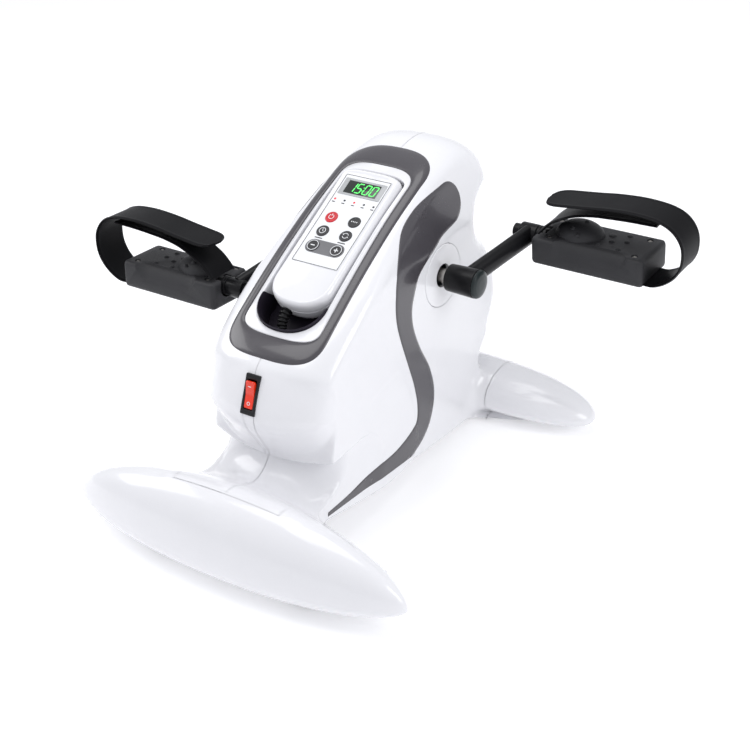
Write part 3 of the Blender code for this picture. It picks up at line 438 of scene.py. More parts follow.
def pillow(points, x, ys, zs, half_width):
    """A flat-sided form: the outline's edge rolls over to a flat side at half_width."""
    depth, rounding, power = outline_field(points, ys, zs)
    edge = np.maximum(1 - depth / rounding, 0)[None]
    power = power[None]
    side = np.abs(x[:, None, None])
    g = (edge ** power + (side / half_width) ** power) ** (1 / power)
    far = -np.hypot(np.maximum(-depth, 0)[None], np.maximum(side - half_width, 0))
    share = np.clip((-depth[None] - 0.004) / 0.008, 0, 1)
    return (as_distance(g.astype(np.float32)) * (1 - share) + far * share).astype(np.float32)


def blend_in(a, b, reach):
    """The union of two forms with a fillet of about reach."""
    h = np.clip(0.5 + 0.5 * (a - b) / reach, 0, 1)
    return b + (a - b) * h + reach * h * (1 - h)


def casing_field(xs, ys, zs):
    """The white casing with both feet, as one smooth field."""
    lean = np.interp(zs, LEAN_Z, LEAN_SHARE)[None, None, :]
    upper = pillow(REAR_PROFILE + BELLY_EDGE, xs, ys, zs, HALF_WIDTH * lean)
    fade = np.clip((-0.034 - ys) / 0.035, 0, 1)[None, :, None]
    lower = pillow(NECK_PROFILE, xs, ys, zs, HALF_WIDTH - 0.0018 * fade * fade * (3 - 2 * fade))
    x, y, z = (v for v in np.meshgrid(xs, ys, zs, indexing="ij", sparse=True))
    tall = np.where(z > 0.031, 0.0635, 0.0298)
    pod = np.sqrt(((y - FRONT_Y) / 0.0414) ** 2 + ((z - 0.031) / tall) ** 2) ** 1.65
    pod = as_distance((pod + np.abs(x / FOOT_HALF) ** 2.2).astype(np.float32))
    sag = REAR_SAG * np.minimum(np.abs(x / FOOT_HALF), 1) ** 3
    deep = np.where(z > 0.0265 - sag, 0.0248, 0.0248 - sag)
    rear = np.sqrt(((y - REAR_Y) / 0.0375) ** 2 + ((z - 0.0265 + sag) / deep) ** 2) ** 2.2
    rear = as_distance((rear + np.abs(x / FOOT_HALF) ** 4).astype(np.float32))
    whole = blend_in(upper, lower, 0.0012)
    whole = blend_in(whole, pod, 0.020)
    return np.minimum(blend_in(whole, rear, 0.018), z - FLOOR_GAP)


def surface_net(field, low):
    """Vertices and quads of a field's zero surface."""
    shape = np.array(field.shape) - 1
    total = np.zeros((*shape, 3), np.float32)
    count = np.zeros(shape, np.float32)
    loops = []
    for axis in range(3):
        first = [slice(None)] * 3
        second = [slice(None)] * 3
        first[axis], second[axis] = slice(0, -1), slice(1, None)
        fa, fb = field[tuple(first)], field[tuple(second)]
        edges = np.argwhere((fa > 0) != (fb > 0))
        va, vb = fa[tuple(edges.T)], fb[tuple(edges.T)]
        points = edges.astype(np.float32)
        points[:, axis] += va / (va - vb)
        u, v = (axis + 1) % 3, (axis + 2) % 3
        corners = []
        for du, dv in ((-1, -1), (0, -1), (0, 0), (-1, 0)):
            cell = edges.copy()
            cell[:, u] += du
            cell[:, v] += dv
            fine = np.all((cell >= 0) & (cell < shape), axis=1)
            np.add.at(total, tuple(cell[fine].T), points[fine])
            np.add.at(count, tuple(cell[fine].T), 1)
            corners.append((cell, fine))
        whole = np.logical_and.reduce([fine for _, fine in corners])
        quad = np.stack([np.ravel_multi_index(cell[whole].T, shape) for cell, _ in corners], axis=1)
        flip = va[whole] <= 0
        quad[flip] = quad[flip][:, ::-1]
        loops.append(quad)
    used = count.ravel() > 0
    number = np.cumsum(used) - 1
    points = total.reshape(-1, 3)[used] / count.ravel()[used][:, None]
    return points * STEP + np.array(low), number[np.concatenate(loops)]


def relaxed(points, quads, times, still):
    """Points evened out without shrinking; those marked still stay."""
    ends = np.concatenate([quads[:, [k, (k + 1) % 4]] for k in range(4)])
    ends = np.concatenate([ends, ends[:, ::-1]])
    degree = np.bincount(ends[:, 0], minlength=len(points))[:, None]
    for _ in range(times):
        for pull in (0.55, -0.57):
            sums = [np.bincount(ends[:, 0], points[ends[:, 1], k], len(points)) for k in range(3)]
            moved = points + pull * (np.stack(sums, 1) / np.maximum(degree, 1) - points)
            points = np.where(still[:, None], points, moved)
    return points


def sampled(grid, at):
    """Values of a grid between its points."""
    cell = np.clip(np.floor(at).astype(int), 0, np.array(grid.shape) - 2)
    share = at - cell
    total = 0
    for corner in np.ndindex(2, 2, 2):
        weight = np.prod(np.where(corner, share, 1 - share), axis=1)
        total = total + weight * grid[tuple((cell + corner).T)]
    return total


def casing_surface():
    """Right half of the casing's outer surface: points, quads and outward normals."""
    xs = np.arange(-2, 113) * STEP + 0.0002
    ys = np.arange(-0.2355, 0.2360, STEP)
    zs = np.arange(-0.0040, 0.3190, STEP)
    field, low = casing_field(xs, ys, zs), np.array((xs[0], ys[0], zs[0]))
    points, quads = surface_net(field, low)
    still = points[:, 0] < xs[0] + 1.2 * STEP
    slopes = [grid / STEP for grid in np.gradient(field)]
    for _ in range(3):
        points = relaxed(points, quads, 2, still)
        at = (points - low) / STEP
        slope = np.stack([sampled(grid, at) for grid in slopes], 1)
        points = points - slope * (sampled(field, at) / np.sum(slope ** 2, 1))[:, None]
    return points, quads, -slope / np.linalg.norm(slope, axis=1)[:, None]


# ---------------------------------------------------------------- frames and outlines of the console
PANEL = Matrix.Rotation(math.radians(24.3), 4, "X")
PANEL = Matrix.Translation(PANEL @ Vector((0, 0.1086, 0.2406))) @ PANEL
SWITCH = Matrix.Translation((0, -0.1350, 0.17325)) @ Matrix.Rotation(math.radians(63.2), 4, "X")
CRANK_Y, CRANK_Z, CRANK_THROW, CRANK_RISE = 0.096, 0.2025, 0.0962, math.radians(8.4)
PEDAL_TILT = {1: math.radians(-1.7), -1: math.radians(-7.3)}
HUB_R = 0.0331
BEZEL_OUT = dict(half=0.0542, low=-0.1298, high=0.1483, low_round=0.040, high_round=0.045,
                 power_low=3.0, power_high=2.6, half_high=0.0508)
BEZEL_IN = dict(half=0.0445, low=-0.1045, high=0.1168, low_round=0.022, high_round=0.028,
                power_low=3.0, power_high=3.2, half_high=0.0412)
RECESS = dict(half=0.0378, low=-0.098, high=0.1042, low_round=0.035, high_round=0.012,
              power_low=2.2, power_high=3.0, half_high=0.0366)
HANDSET = dict(half=0.0345, low=-0.070, high=0.102, low_round=0.030, high_round=0.012,
               power_low=2.3, power_high=3.0)
HANDSET_BACK, HANDSET_SPLIT = -0.0243, -0.0120
CRADLE_FLOOR, POCKET_FLOOR = -0.0246, -0.0338
COIL_S, CORD_R, TAIL_X = -0.032, 0.00175, -0.0264
BUTTON_R = 0.0068
LABEL_K = -0.0002
BUTTONS = {
    "power": (-0.0135, 0.0365), "mode": (0.0137, 0.0365), "timer": (-0.0135, 0.0186),
    "reverse": (0.0137, 0.0186), "minus": (-0.0138, -0.0003), "plus": (0.0137, -0.0003),
}


def arch(half, low, high, low_round, high_round, power_low=3.0, power_high=3.0, half_high=None, steps=18):
    """A closed outline about x = 0 with superellipse ends, counter-clockwise from its right side."""
    half_high = half_high or half
    points = []
    for end, wide, rounding, power, turn in ((high, half_high, high_round, power_high, 1),
                                             (low, half, low_round, power_low, -1)):
        for i in range(2 * steps + 1):
            angle = math.pi * i / (2 * steps)
            c, s = math.cos(angle), math.sin(angle)
            x = wide * math.copysign(abs(c) ** (2 / power), c)
            y = rounding * abs(s) ** (2 / power)
            points.append((turn * x, end - turn * rounding + turn * y))
        across = half if turn > 0 else half_high
        last = high - high_round if turn < 0 else low + low_round
        here = points[-1]
        for k in range(1, 40):
            share = k / 40
            points.append((here[0] + (-turn * across - here[0]) * share, here[1] + (last - here[1]) * share))
    return points


def mixed(a, b, share):
    """An arch's facts between two arches."""
    return {key: a[key] + (b[key] - a[key]) * share for key in a}


# ---------------------------------------------------------------- casing pieces
SEAM, GROOVE, RIM_DEPTH = 0.0004, 0.0008, 0.0030
FOOT_FRONT_Y, FOOT_SIDE_X, FOOT_BACK_Y = -0.192, 0.0636, -0.147
SURFACE = None
WEDGE_TOP, WEDGE_FOOT = (0.0068, 0.1560), (0.0022, 0.0965)


def sliced(bm, place, normal, where):
    """Cuts faces along a plane where a face centre passes the test."""
    place, normal = Vector(place), Vector(normal).normalized()
    faces = []
    for face in bm.faces:
        centre = face.calc_center_median()
        if abs((centre - place).dot(normal)) < 0.004 and where(centre):
            faces.append(face)
    edges = {edge for face in faces for edge in face.edges}
    verts = {vert for face in faces for vert in face.verts}
    bmesh.ops.bisect_plane(bm, geom=faces + list(edges) + list(verts), dist=1e-7,
                           plane_co=place, plane_no=normal)


def grooved(bm, place, normal, where, width=GROOVE):
    """Opens a fine line along a plane where a face centre passes the test."""
    place, normal = Vector(place), Vector(normal).normalized()
    for shift in (-width / 2, width / 2):
        sliced(bm, place + normal * shift, normal, where)
    strip = []
    for face in bm.faces:
        centre = face.calc_center_median()
        if abs((centre - place).dot(normal)) < width / 2 and where(centre):
            strip.append(face)
    bmesh.ops.delete(bm, geom=strip, context="FACES")


def inside(outline, x, y):
    """True where a point lies within an outline."""
    found = False
    for (x0, y0), (x1, y1) in zip(outline, outline[1:] + outline[:1]):
        if (y0 > y) != (y1 > y) and x < x0 + (y - y0) * (x1 - x0) / (y1 - y0):
            found = not found
    return found


def opened(bm):
    """Removes the skin under the bezel, the switch and the hub cover."""
    hole = arch(**mixed(BEZEL_OUT, BEZEL_IN, 0.5), steps=8)
    to_panel, to_switch = PANEL.inverted(), SWITCH.inverted()
    doomed = []
    for face in bm.faces:
        centre = face.calc_center_median()
        if centre.z > 0.17 and centre.y < 0.16:
            p = to_panel @ centre
            if abs(p.x) < 0.054 and -0.125 < p.y < 0.140 and p.z > -0.03 and inside(hole, p.x, p.y):
                doomed.append(face)
                continue
        if centre.y < -0.10 and centre.x < 0.007:
            p = to_switch @ centre
            if abs(p.x) < 0.0066 and abs(p.y) < 0.0182 and abs(p.z) < 0.02:
                doomed.append(face)
                continue
        if centre.x > 0.06 and math.hypot(centre.y - CRANK_Y, centre.z - CRANK_Z) < HUB_R + 0.0003:
            doomed.append(face)
    bmesh.ops.delete(bm, geom=doomed, context="FACES")
    for vert in bm.verts:
        out = Vector((0, vert.co.y - CRANK_Y, vert.co.z - CRANK_Z))
        if vert.is_boundary and vert.co.x > 0.06 and out.length < HUB_R + 0.004:
            vert.co += out.normalized() * (HUB_R + 0.0003 - out.length)


def foot_face(centre):
    """True on the skin of the front foot."""
    return centre.y < FOOT_FRONT_Y or (centre.x > FOOT_SIDE_X and centre.y < FOOT_BACK_Y)


def tip_face(centre):
    """True on the rear foot's end, outside its sleeve."""
    return centre.x > SLEEVE_END and centre.y > 0.1


def wedge_face(centre):
    """True on the narrow panel under the switch."""
    share = (centre.z - WEDGE_FOOT[1]) / (WEDGE_TOP[1] - WEDGE_FOOT[1])
    if centre.y > -0.1 or share > 1:
        return False
    return share > 0 and centre.x < WEDGE_FOOT[0] + (WEDGE_TOP[0] - WEDGE_FOOT[0]) * share


def mirrored(bm):
    """A copy of half a bmesh on the other side of x = 0."""
    other = bm.copy()
    layer = other.verts.layers.float_vector["shape"]
    for vert in other.verts:
        vert.co.x *= -1
        vert[layer] = Vector((-vert[layer].x, vert[layer].y, vert[layer].z))
    bmesh.ops.reverse_faces(other, faces=other.faces)
    return other


def skin_piece(name, bm, node):
    """A piece of the casing whose rims turn inward and whose shading follows the whole casing."""
    layer = bm.verts.layers.float_vector["shape"]
    rims = bmesh.ops.extrude_edge_only(bm, edges=[edge for edge in bm.edges if edge.is_boundary])["geom"]
    for vert in rims:
        if isinstance(vert, bmesh.types.BMVert):
            vert.co -= Vector(vert[layer]).normalized() * RIM_DEPTH
    normals = [Vector(vert[layer]).normalized() for vert in bm.verts]
    mesh = bpy.data.meshes.new(name)
    bm.to_mesh(mesh)
    bm.free()
    mesh.normals_split_custom_set_from_vertices(normals)
    mesh.attributes.remove(mesh.attributes["shape"])
    return dress(bpy.data.objects.new(name, mesh), "white", "base", node)


def picked(bm, test):
    """A copy of the faces whose centre passes the test."""
    some = bm.copy()
    rest = [face for face in some.faces if not test(face.calc_center_median())]
    bmesh.ops.delete(some, geom=rest, context="FACES")
    return some


def casing():
    """Both half shells, both rear foot ends, the front foot and the panel under the switch."""
    global SURFACE
    points, quads, normals = casing_surface()
    SURFACE = BVHTree.FromPolygons(points.tolist(), quads.tolist())
    mesh = bpy.data.meshes.new("half")
    mesh.from_pydata(points.tolist(), [], quads.tolist())
    bm = bmesh.new()
    bm.from_mesh(mesh)
    bpy.data.meshes.remove(mesh)
    bmesh.ops.recalc_face_normals(bm, faces=bm.faces)
    layer = bm.verts.layers.float_vector.new("shape")
    for vert, normal in zip(bm.verts, normals.tolist()):
        vert[layer] = normal
    everything = bm.verts[:] + bm.edges[:] + bm.faces[:]
    bmesh.ops.bisect_plane(bm, geom=everything, dist=1e-7, plane_co=(SEAM, 0, 0), plane_no=(1, 0, 0),
                           clear_inner=True)
    opened(bm)
    grooved(bm, (0, FOOT_FRONT_Y, 0), (0, 1, 0), lambda c: c.x < 0.0637 and c.z > 0.05)
    grooved(bm, (FOOT_SIDE_X, 0, 0), (1, 0, 0), lambda c: -0.1922 < c.y < -0.180 and c.z > 0.05)
    sliced(bm, (FOOT_SIDE_X, 0, 0), (1, 0, 0), lambda c: -0.181 < c.y < -0.140)
    sliced(bm, (0, FOOT_FRONT_Y, 0), (0, 1, 0), lambda c: c.z < 0.051)
    sliced(bm, (0, FOOT_BACK_Y, 0), (0, 1, 0), lambda c: c.x > 0.063)
    grooved(bm, (SLEEVE_END, 0, 0), (1, 0, 0), lambda c: c.y > 0.1 and c.z < 0.09)
    run = Vector((WEDGE_TOP[0] - WEDGE_FOOT[0], 0, WEDGE_TOP[1] - WEDGE_FOOT[1]))
    grooved(bm, (WEDGE_FOOT[0], 0, WEDGE_FOOT[1]), (run.z, 0, -run.x),
            lambda c: c.y < -0.1 and WEDGE_FOOT[1] < c.z < WEDGE_TOP[1] + 0.001)
    sliced(bm, (0, 0, WEDGE_FOOT[1]), (0, 0, 1), lambda c: c.y < -0.1 and c.x < 0.004)
    for name, node, test in (("front_foot_shell", ["front_foot"], foot_face),
                             ("switch_panel", [], wedge_face)):
        half = picked(bm, test)
        for vert in half.verts:
            if vert.co.x < 1.5 * SEAM:
                vert.co.x = 0
        other = mirrored(half)
        whole = merged((half, None), (other, None))
        middle = [vert for vert in whole.verts if abs(vert.co.x) < SEAM / 10]
        bmesh.ops.remove_doubles(whole, verts=middle, dist=1e-6)
        skin_piece(name, whole, node)
    tip = picked(bm, tip_face)
    shell = picked(bm, lambda c: not (tip_face(c) or foot_face(c) or wedge_face(c)))
    for half, name, node in ((tip, "rear_foot_{}_shell", "rear_foot_{}"),
                             (shell, "casing_{}", "{}_shell")):
        other = mirrored(half)
        for part, side in ((half, "right"), (other, "left")):
            skin_piece(name.format(side), part, [node.format(side)])
    bm.free()


def on_panel(x, s, lift=0.0):
    """The point of the casing's top under a console point (x, s), raised by lift."""
    down = PANEL.to_3x3() @ Vector((0, 0, -1))
    hit = SURFACE.ray_cast(PANEL @ Vector((max(abs(x), 0.0005), s, 0.05)), down)[0]
    place = hit - down * lift
    return Vector((x, place.y, place.z))


def on_side(y, z, lift):
    """The point of the casing's right side at (y, z), raised by lift along the surface's normal."""
    z = max(z, 0.0024 + (0.161 - y) * 0.1437 + 0.0055)
    hit, normal, _, _ = SURFACE.ray_cast(Vector((0.2, y, z)), Vector((-1, 0, 0)))
    return hit + normal * math.copysign(lift, normal.x * lift)


def stripe(name, side):
    """A grey trim strip that follows the side of the casing."""
    (y0, z0, w0), (y1, z1, _) = STRIPE[0], STRIPE[1]
    back = Vector((y0 - y1, z0 - z1)).normalized()
    stations = []
    for angle in range(88, 4, -8):
        reach, wide = w0 * math.sin(math.radians(angle)), w0 * math.cos(math.radians(angle))
        stations.append((y0 + back.x * reach, z0 + back.y * reach, wide))
    stations += [tuple(point) for point in smooth_route(STRIPE, 0.0035)]
    rings = []
    for i, (y, z, wide) in enumerate(stations):
        before, after = stations[max(i - 1, 0)], stations[min(i + 1, len(stations) - 1)]
        along = Vector((after[0] - before[0], after[1] - before[1])).normalized()
        ring = []
        for k, lift in STRIPE_SECTION:
            p = on_side(y - along.y * wide * k, z + along.x * wide * k, max(lift, 0.0))
            if lift < 0:
                p.x += lift
            ring.append((side * p.x, p.y, p.z))
        rings.append(ring)
    mesh_object(f"{name}_trim", loft(rings), "grey", "base", [name], smooth=50)


# middle line of the strip: rearward, up, half width
STRIPE = [
    (0.126, 0.268, 0.0215), (0.098, 0.2655, 0.0225), (0.078, 0.260, 0.024), (0.055, 0.2505, 0.0235),
    (0.038, 0.236, 0.020), (0.028, 0.217, 0.0177), (0.0228, 0.195, 0.0142), (0.0255, 0.170, 0.0118),
    (0.035, 0.139, 0.0125), (0.0458, 0.109, 0.0153), (0.050, 0.081, 0.0163), (0.0425, 0.057, 0.0142),
    (0.024, 0.045, 0.014), (-0.0085, 0.039, 0.0136), (-0.046, 0.041, 0.0127), (-0.0915, 0.044, 0.008),
    (-0.128, 0.0505, 0.003),
]
# across the strip: share of the half width, and the lift above the casing
STRIPE_SECTION = [(-1, -0.0012), (-1, 0.0001), (-0.975, 0.0004), *[(j / 5, 0.0005) for j in range(-4, 5)],
                  (0.975, 0.0004), (1, 0.0001), (1, -0.0012)]


def hub_covers():
    """The round covers that lie flush in the sides, with a dark hole for the shaft."""
    for side, word in ((1, "right"), (-1, "left")):
        profile = [(0.0122, -0.0035), (0.0122, 0.0002), (HUB_R - 0.0003, 0.0002), (HUB_R - 0.0003, -0.0030)]
        turn = Matrix.Rotation(0 if side > 0 else math.pi, 4, "Y")
        rings = [[(r * math.cos(2 * math.pi * i / 96), r * math.sin(2 * math.pi * i / 96), height)
                  for i in range(96)] for r, height in filleted(profile, 0.0007)]
        mesh_object(f"{word}_hub_disc", loft(rings, closed=True), "white", "base", [f"{word}_hub_cover"],
                    smooth=40, matrix=along_x(side * HALF_WIDTH, CRANK_Y, CRANK_Z) @ turn)


# ---------------------------------------------------------------- console
# share of the way from the bezel's outer to its inner edge, and the lift there
BEZEL_CROWN = [(0.06, 0.0008), (0.2, 0.0012), (0.4, 0.0014), (0.6, 0.0014), (0.8, 0.0012), (0.94, 0.0008)]
# distance outside the recess, and the lift there
CRADLE_LIP = [(0.0030, 0.0004), (0.0018, 0.0011), (0.0009, 0.0010), (0.0002, 0.0004), (0, -0.0004),
              (0, -0.0035)]


def draped(outline, lift):
    """An outline laid on the casing's top."""
    return [on_panel(x, s, lift) for x, s in outline]


def flat(outline, k):
    """An outline at one height in the console's frame."""
    return [PANEL @ Vector((x, s, k)) for x, s in outline]


def console():
    """The grey bezel and the white cradle with its recess and cord pocket, whose shade is painted on a dark
    lining.
    """
    outer, inner = arch(**BEZEL_OUT), arch(**BEZEL_IN)
    rings = [draped(outer, -0.0030), draped(outer, 0.0001)]
    rings += [draped(arch(**mixed(BEZEL_OUT, BEZEL_IN, share)), lift) for share, lift in BEZEL_CROWN]
    rings += [draped(inner, 0.0001), draped(inner, -0.0060)]
    mesh_object("bezel", loft(rings, closed=True), "grey", "base", ["console_bezel"], smooth=50)
    edge, recess = grown(inner, -0.0003), arch(**RECESS)
    rings = [flat(grown(inner, -0.002), -0.0363), draped(edge, -0.0080), draped(edge, -0.0003),
             draped(grown(edge, -0.0006), 0.0002)]
    rings += [draped(grown(recess, out), lift) for out, lift in CRADLE_LIP]
    rings += [flat(recess, -0.018), flat(grown(recess, -0.0005), CRADLE_FLOOR + 0.0005),
              flat(grown(recess, -0.0016), CRADLE_FLOOR)]
    cradle = mesh_object("cradle", loft(rings), "white", "base", ["console_cradle"], smooth=35)
    pocket = arch(**dict(RECESS, high=0.0, high_round=0.004, half_high=0.0370), steps=14)
    cut(cradle, loft([flat(pocket, POCKET_FLOOR - 0.0012), flat(pocket, -0.020)]))
    # A dark lining paints the shade inside the cord pocket; its wall rises nearly to the rim only at the
    # pocket's low end, under the handset's nose.
    skin = [grown(pocket, -share) for share in (0.0002, 0.0006, 0.0010)]
    tops = [-0.0255 + 0.0220 * max(0, min((-0.052 - s) / 0.010, 1)) for _, s in pocket]
    rims = [[PANEL @ Vector((x, s, k + drop)) for (x, s), k in zip(line, tops)]
            for line, drop in zip(skin, (-0.0003, 0, -0.0003))]
    lining = loft([flat(skin[0], POCKET_FLOOR - 0.0010), *rims, flat(skin[2], POCKET_FLOOR)])
    mesh_object("cord_pocket_shade", lining, "well", "base", smooth=35)


def cut(piece, tool, operation="DIFFERENCE"):
    """Applies a boolean step with a helper mesh, which is removed."""
    bmesh.ops.recalc_face_normals(tool, faces=tool.faces)
    mesh = bpy.data.meshes.new("tool")
    tool.to_mesh(mesh)
    tool.free()
    helper = bpy.data.objects.new("tool", mesh)
    bpy.context.scene.collection.objects.link(helper)
    step = piece.modifiers.new("cut", "BOOLEAN")
    step.operation, step.solver, step.object = operation, "EXACT", helper
    bpy.context.view_layer.update()
    done = bpy.data.meshes.new_from_object(piece.evaluated_get(bpy.context.evaluated_depsgraph_get()))
    piece.modifiers.clear()
    piece.data = done
    bpy.data.objects.remove(helper, do_unlink=True)
    done.set_sharp_from_angle(angle=math.radians(35))


# side profiles of the two shells and the printed border: distance outside the outline, height
FRONT_PROFILE = [(-0.0006, HANDSET_SPLIT + 0.0002), (0.0, HANDSET_SPLIT + 0.0007), (0.0, -0.0060),
                 (-0.0004, -0.0038), (-0.0014, -0.0016), (-0.0028, -0.0001), (-0.0040, 0.0004),
                 (-0.0052, 0.0001), (-0.0062, -0.0006)]
BACK_PROFILE = [(-0.0050, HANDSET_BACK), (-0.0022, HANDSET_BACK + 0.0008),
                (-0.0006, HANDSET_BACK + 0.0030), (0.0, HANDSET_BACK + 0.0060),
                (0.0, HANDSET_SPLIT - 0.0007), (-0.0006, HANDSET_SPLIT - 0.0002)]
BORDER = [(-0.0003, LABEL_K - 0.0001), (-0.0003, LABEL_K + 0.0001), (-0.0009, LABEL_K + 0.0001),
          (-0.0009, LABEL_K - 0.0001)]
INK_K = LABEL_K + 0.00006
LAMPS, LAMP_S, DASH_S, LIT = (-0.0225, -0.0111, 0.0004, 0.0119, 0.0232), 0.0590, 0.0553, (0, 2)
LAMP_DOME = [(0.0012, LABEL_K - 0.0003), (0.0012, LABEL_K + 0.0002), (0.0007, 0.0002), (0, 0.0003)]


def on_handset(name, bm, look, nodes=(), smooth=None, at=(0, 0, 0)):
    """A piece of the handset, made in the console's frame."""
    mesh_object(name, bm, look, "handset", nodes, smooth=smooth, matrix=PANEL @ Matrix.Translation(at))


def dash(x, s, half, width):
    """A short printed line across the label, which stands in for a word."""
    return bar((x - half, s), (x + half, s), width)


def handset():
    """The control unit: shells, label, display, lamps, buttons and strain relief."""
    outline = arch(**HANDSET)
    on_handset("handset_shell", stacked(outline, FRONT_PROFILE), "white", ["handset_front"], 40)
    on_handset("handset_base", stacked(outline, BACK_PROFILE), "white", ["handset_back"], 40)
    sheet = oblong(-0.0271, -0.0218, 0.0271, 0.0915, 0.0016)
    on_handset("label_sheet", stacked(sheet, pillowed(-0.0009, LABEL_K, 0.0001)), "label",
               ["handset_label"], 40)
    ink = [stacked(sheet, BORDER, closed=True), *[dash(x, DASH_S, 0.0016, 0.0011) for x in LAMPS]]
    ink += [dash(x, 0.0098, 0.0042, 0.0012) for x in (-0.0135, 0.0137)]
    on_handset("label_ink", together(ink), "ink")
    pill = oblong(-0.0222, -0.0083, 0.0222, 0.0077, 0.0079, 10)
    on_handset("speed_field", stacked(pill, pillowed(LABEL_K - 0.0002, INK_K, 0.00005)), "pill")
    display()
    for i, x in enumerate(LAMPS):
        on_handset(f"lamp_{i + 1}", turned(LAMP_DOME, 20, 0.0002), "lamp" if i in LIT else "ink",
                   smooth=60, at=(x, LAMP_S, 0))
    for word, (x, s) in BUTTONS.items():
        button(word, x, s)
    strain_relief()


def bar(a, b, width, low=LABEL_K - 0.0001, high=INK_K):
    """A flat printed stroke from one point to another."""
    a, b = Vector(a), Vector(b)
    along = (b - a).normalized() * (width / 2)
    across = Vector((along.y, -along.x))
    corners = [a - along * 0.6, a + across, b + across, b + along * 0.6, b - across, a - across]
    return stacked([tuple(c) for c in corners], [(0, low), (0, high)])


def hoop(x, y, radius, width, start=0, end=360, low=0.0, high=0.0001):
    """A flat printed arc or ring."""
    parts = max(8, int((end - start) / 12))
    turns = [math.radians(start + (end - start) * k / parts) for k in range(parts + 1)]
    rims = [(radius + k * width / 2, height) for k, height in ((1, low), (1, high), (-1, high), (-1, low))]
    rings = [[(x + r * math.cos(t), y + r * math.sin(t), height) for r, height in rims] for t in turns]
    if end - start >= 360:
        return loft(rings[:-1], closed=True)
    return loft(rings)


def display():
    """The silver frame, the dark window and its lit digits."""
    rim = oblong(-0.0243, 0.0660, 0.0247, 0.0870, 0.0012)
    window = oblong(-0.0190, 0.0686, 0.0190, 0.0844, 0.0006)
    rings = levels(rim, [(0.0, -0.0004), (-0.0001, 0.0002), (-0.0005, 0.0004)])
    rings += levels(window, [(0.0004, 0.0003), (0, 0.0), (0, -0.0012)])
    on_handset("display_frame", loft(rings, closed=True), "silver", smooth=35)
    on_handset("display_pane", stacked(window, pillowed(-0.0012, 0.0001, 0.0001)), "glass",
               ["display_window"], 40)
    strokes = []
    for digit, x in DIGITS:
        strokes += digit_strokes(digit, x, DIGIT_S)
    for rise in (-0.0020, 0.0020):
        dot = turned([(0.0006, 0.0001), (0.0006, 0.0002), (0, 0.0002)], 12, 0.0001)
        strokes.append(placed(dot, 0.0011 + rise * 0.12, DIGIT_S + rise))
    on_handset("display_digits", together(strokes), "digit")


DIGITS, DIGIT_S = (("1", -0.0112), ("5", -0.0034), ("0", 0.0056), ("0", 0.0139)), 0.0765
DIGIT_LEAN, STROKE_GAP, STROKE_WIDTH = 0.14, 0.0006, 0.0011
SEGMENTS = {"0": "abcdef", "1": "bc", "5": "afgcd"}


def digit_strokes(digit, x, s):
    """The lit strokes of a leaning seven-segment digit centred at (x, s)."""
    w, h = 0.0028, 0.0058
    corners = {"nw": (-w, h), "ne": (w, h), "w": (-w, 0), "e": (w, 0), "sw": (-w, -h), "se": (w, -h)}
    ends = {"a": ("nw", "ne"), "b": ("ne", "e"), "c": ("e", "se"), "d": ("sw", "se"), "e": ("w", "sw"),
            "f": ("nw", "w"), "g": ("w", "e")}
    out = []
    for name in SEGMENTS[digit]:
        (x0, y0), (x1, y1) = (corners[c] for c in ends[name])
        a = Vector((x + x0 + y0 * DIGIT_LEAN, s + y0))
        b = Vector((x + x1 + y1 * DIGIT_LEAN, s + y1))
        gap = (b - a).normalized() * STROKE_GAP
        out.append(bar(a + gap, b - gap, STROKE_WIDTH, 0.0, 0.0002))
    return out


KEY_DOME = [(BUTTON_R, -0.0048), (BUTTON_R, 0.0000), (BUTTON_R - 0.0005, 0.0005), (BUTTON_R - 0.0018, 0.0008),
            (0, 0.0008)]
KEY_RING = (0, 0, 0.0058, 0.0006, 0, 360, 0.00066)
SIGN_LOW, SIGN_HIGH = 0.0007, 0.00088
# signs on the keys: rings as for hoop, and strokes as (from x, from y, to x, to y, width)
SIGNS = {
    "power": ([(0, 0, 0.0027, 0.0006, 120, 420, SIGN_LOW)], [(0, 0.0014, 0, 0.0036, 0.0007)]),
    "mode": ([], [(i * 0.0020 - 0.0030, 0, i * 0.0020 - 0.0030 + 0.0004, 0, 0.0014) for i in range(4)]),
    "timer": ([(0, 0, 0.0033, 0.0006, 0, 360, SIGN_LOW)],
              [(0, 0, 0, 0.0022, 0.0006), (0, 0, 0.0016, -0.0010, 0.0006)]),
    "reverse": ([(0, 0, 0.0030, 0.0006, start, start + 140, SIGN_LOW) for start in (20, 200)],
                [(-0.0036, 0.0018, -0.0024, 0.0006, 0.0007), (0.0036, -0.0018, 0.0024, -0.0006, 0.0007)]),
    "minus": ([KEY_RING], [(-0.0022, 0, 0.0022, 0, 0.0011)]),
    "plus": ([KEY_RING], [(-0.0022, 0, 0.0022, 0, 0.0011), (0, -0.0022, 0, 0.0022, 0.0011)]),
}


def button(word, x, s):
    """A domed rubber key with its printed sign."""
    place = PANEL @ Matrix.Translation((x, s, 0))
    mesh_object(f"{word}_cap", turned(KEY_DOME, 40, 0.0004), "key_red" if word == "power" else "key_black",
                f"key_{word}", [f"button_{word}"], smooth=30, matrix=place)
    rings, strokes = SIGNS[word]
    parts = [hoop(*ring, SIGN_HIGH) for ring in rings]
    parts += [bar((x0, y0), (x1, y1), width, SIGN_LOW, SIGN_HIGH) for x0, y0, x1, y1, width in strokes]
    mesh_object(f"{word}_sign", together(parts), "label", f"key_{word}", matrix=place)


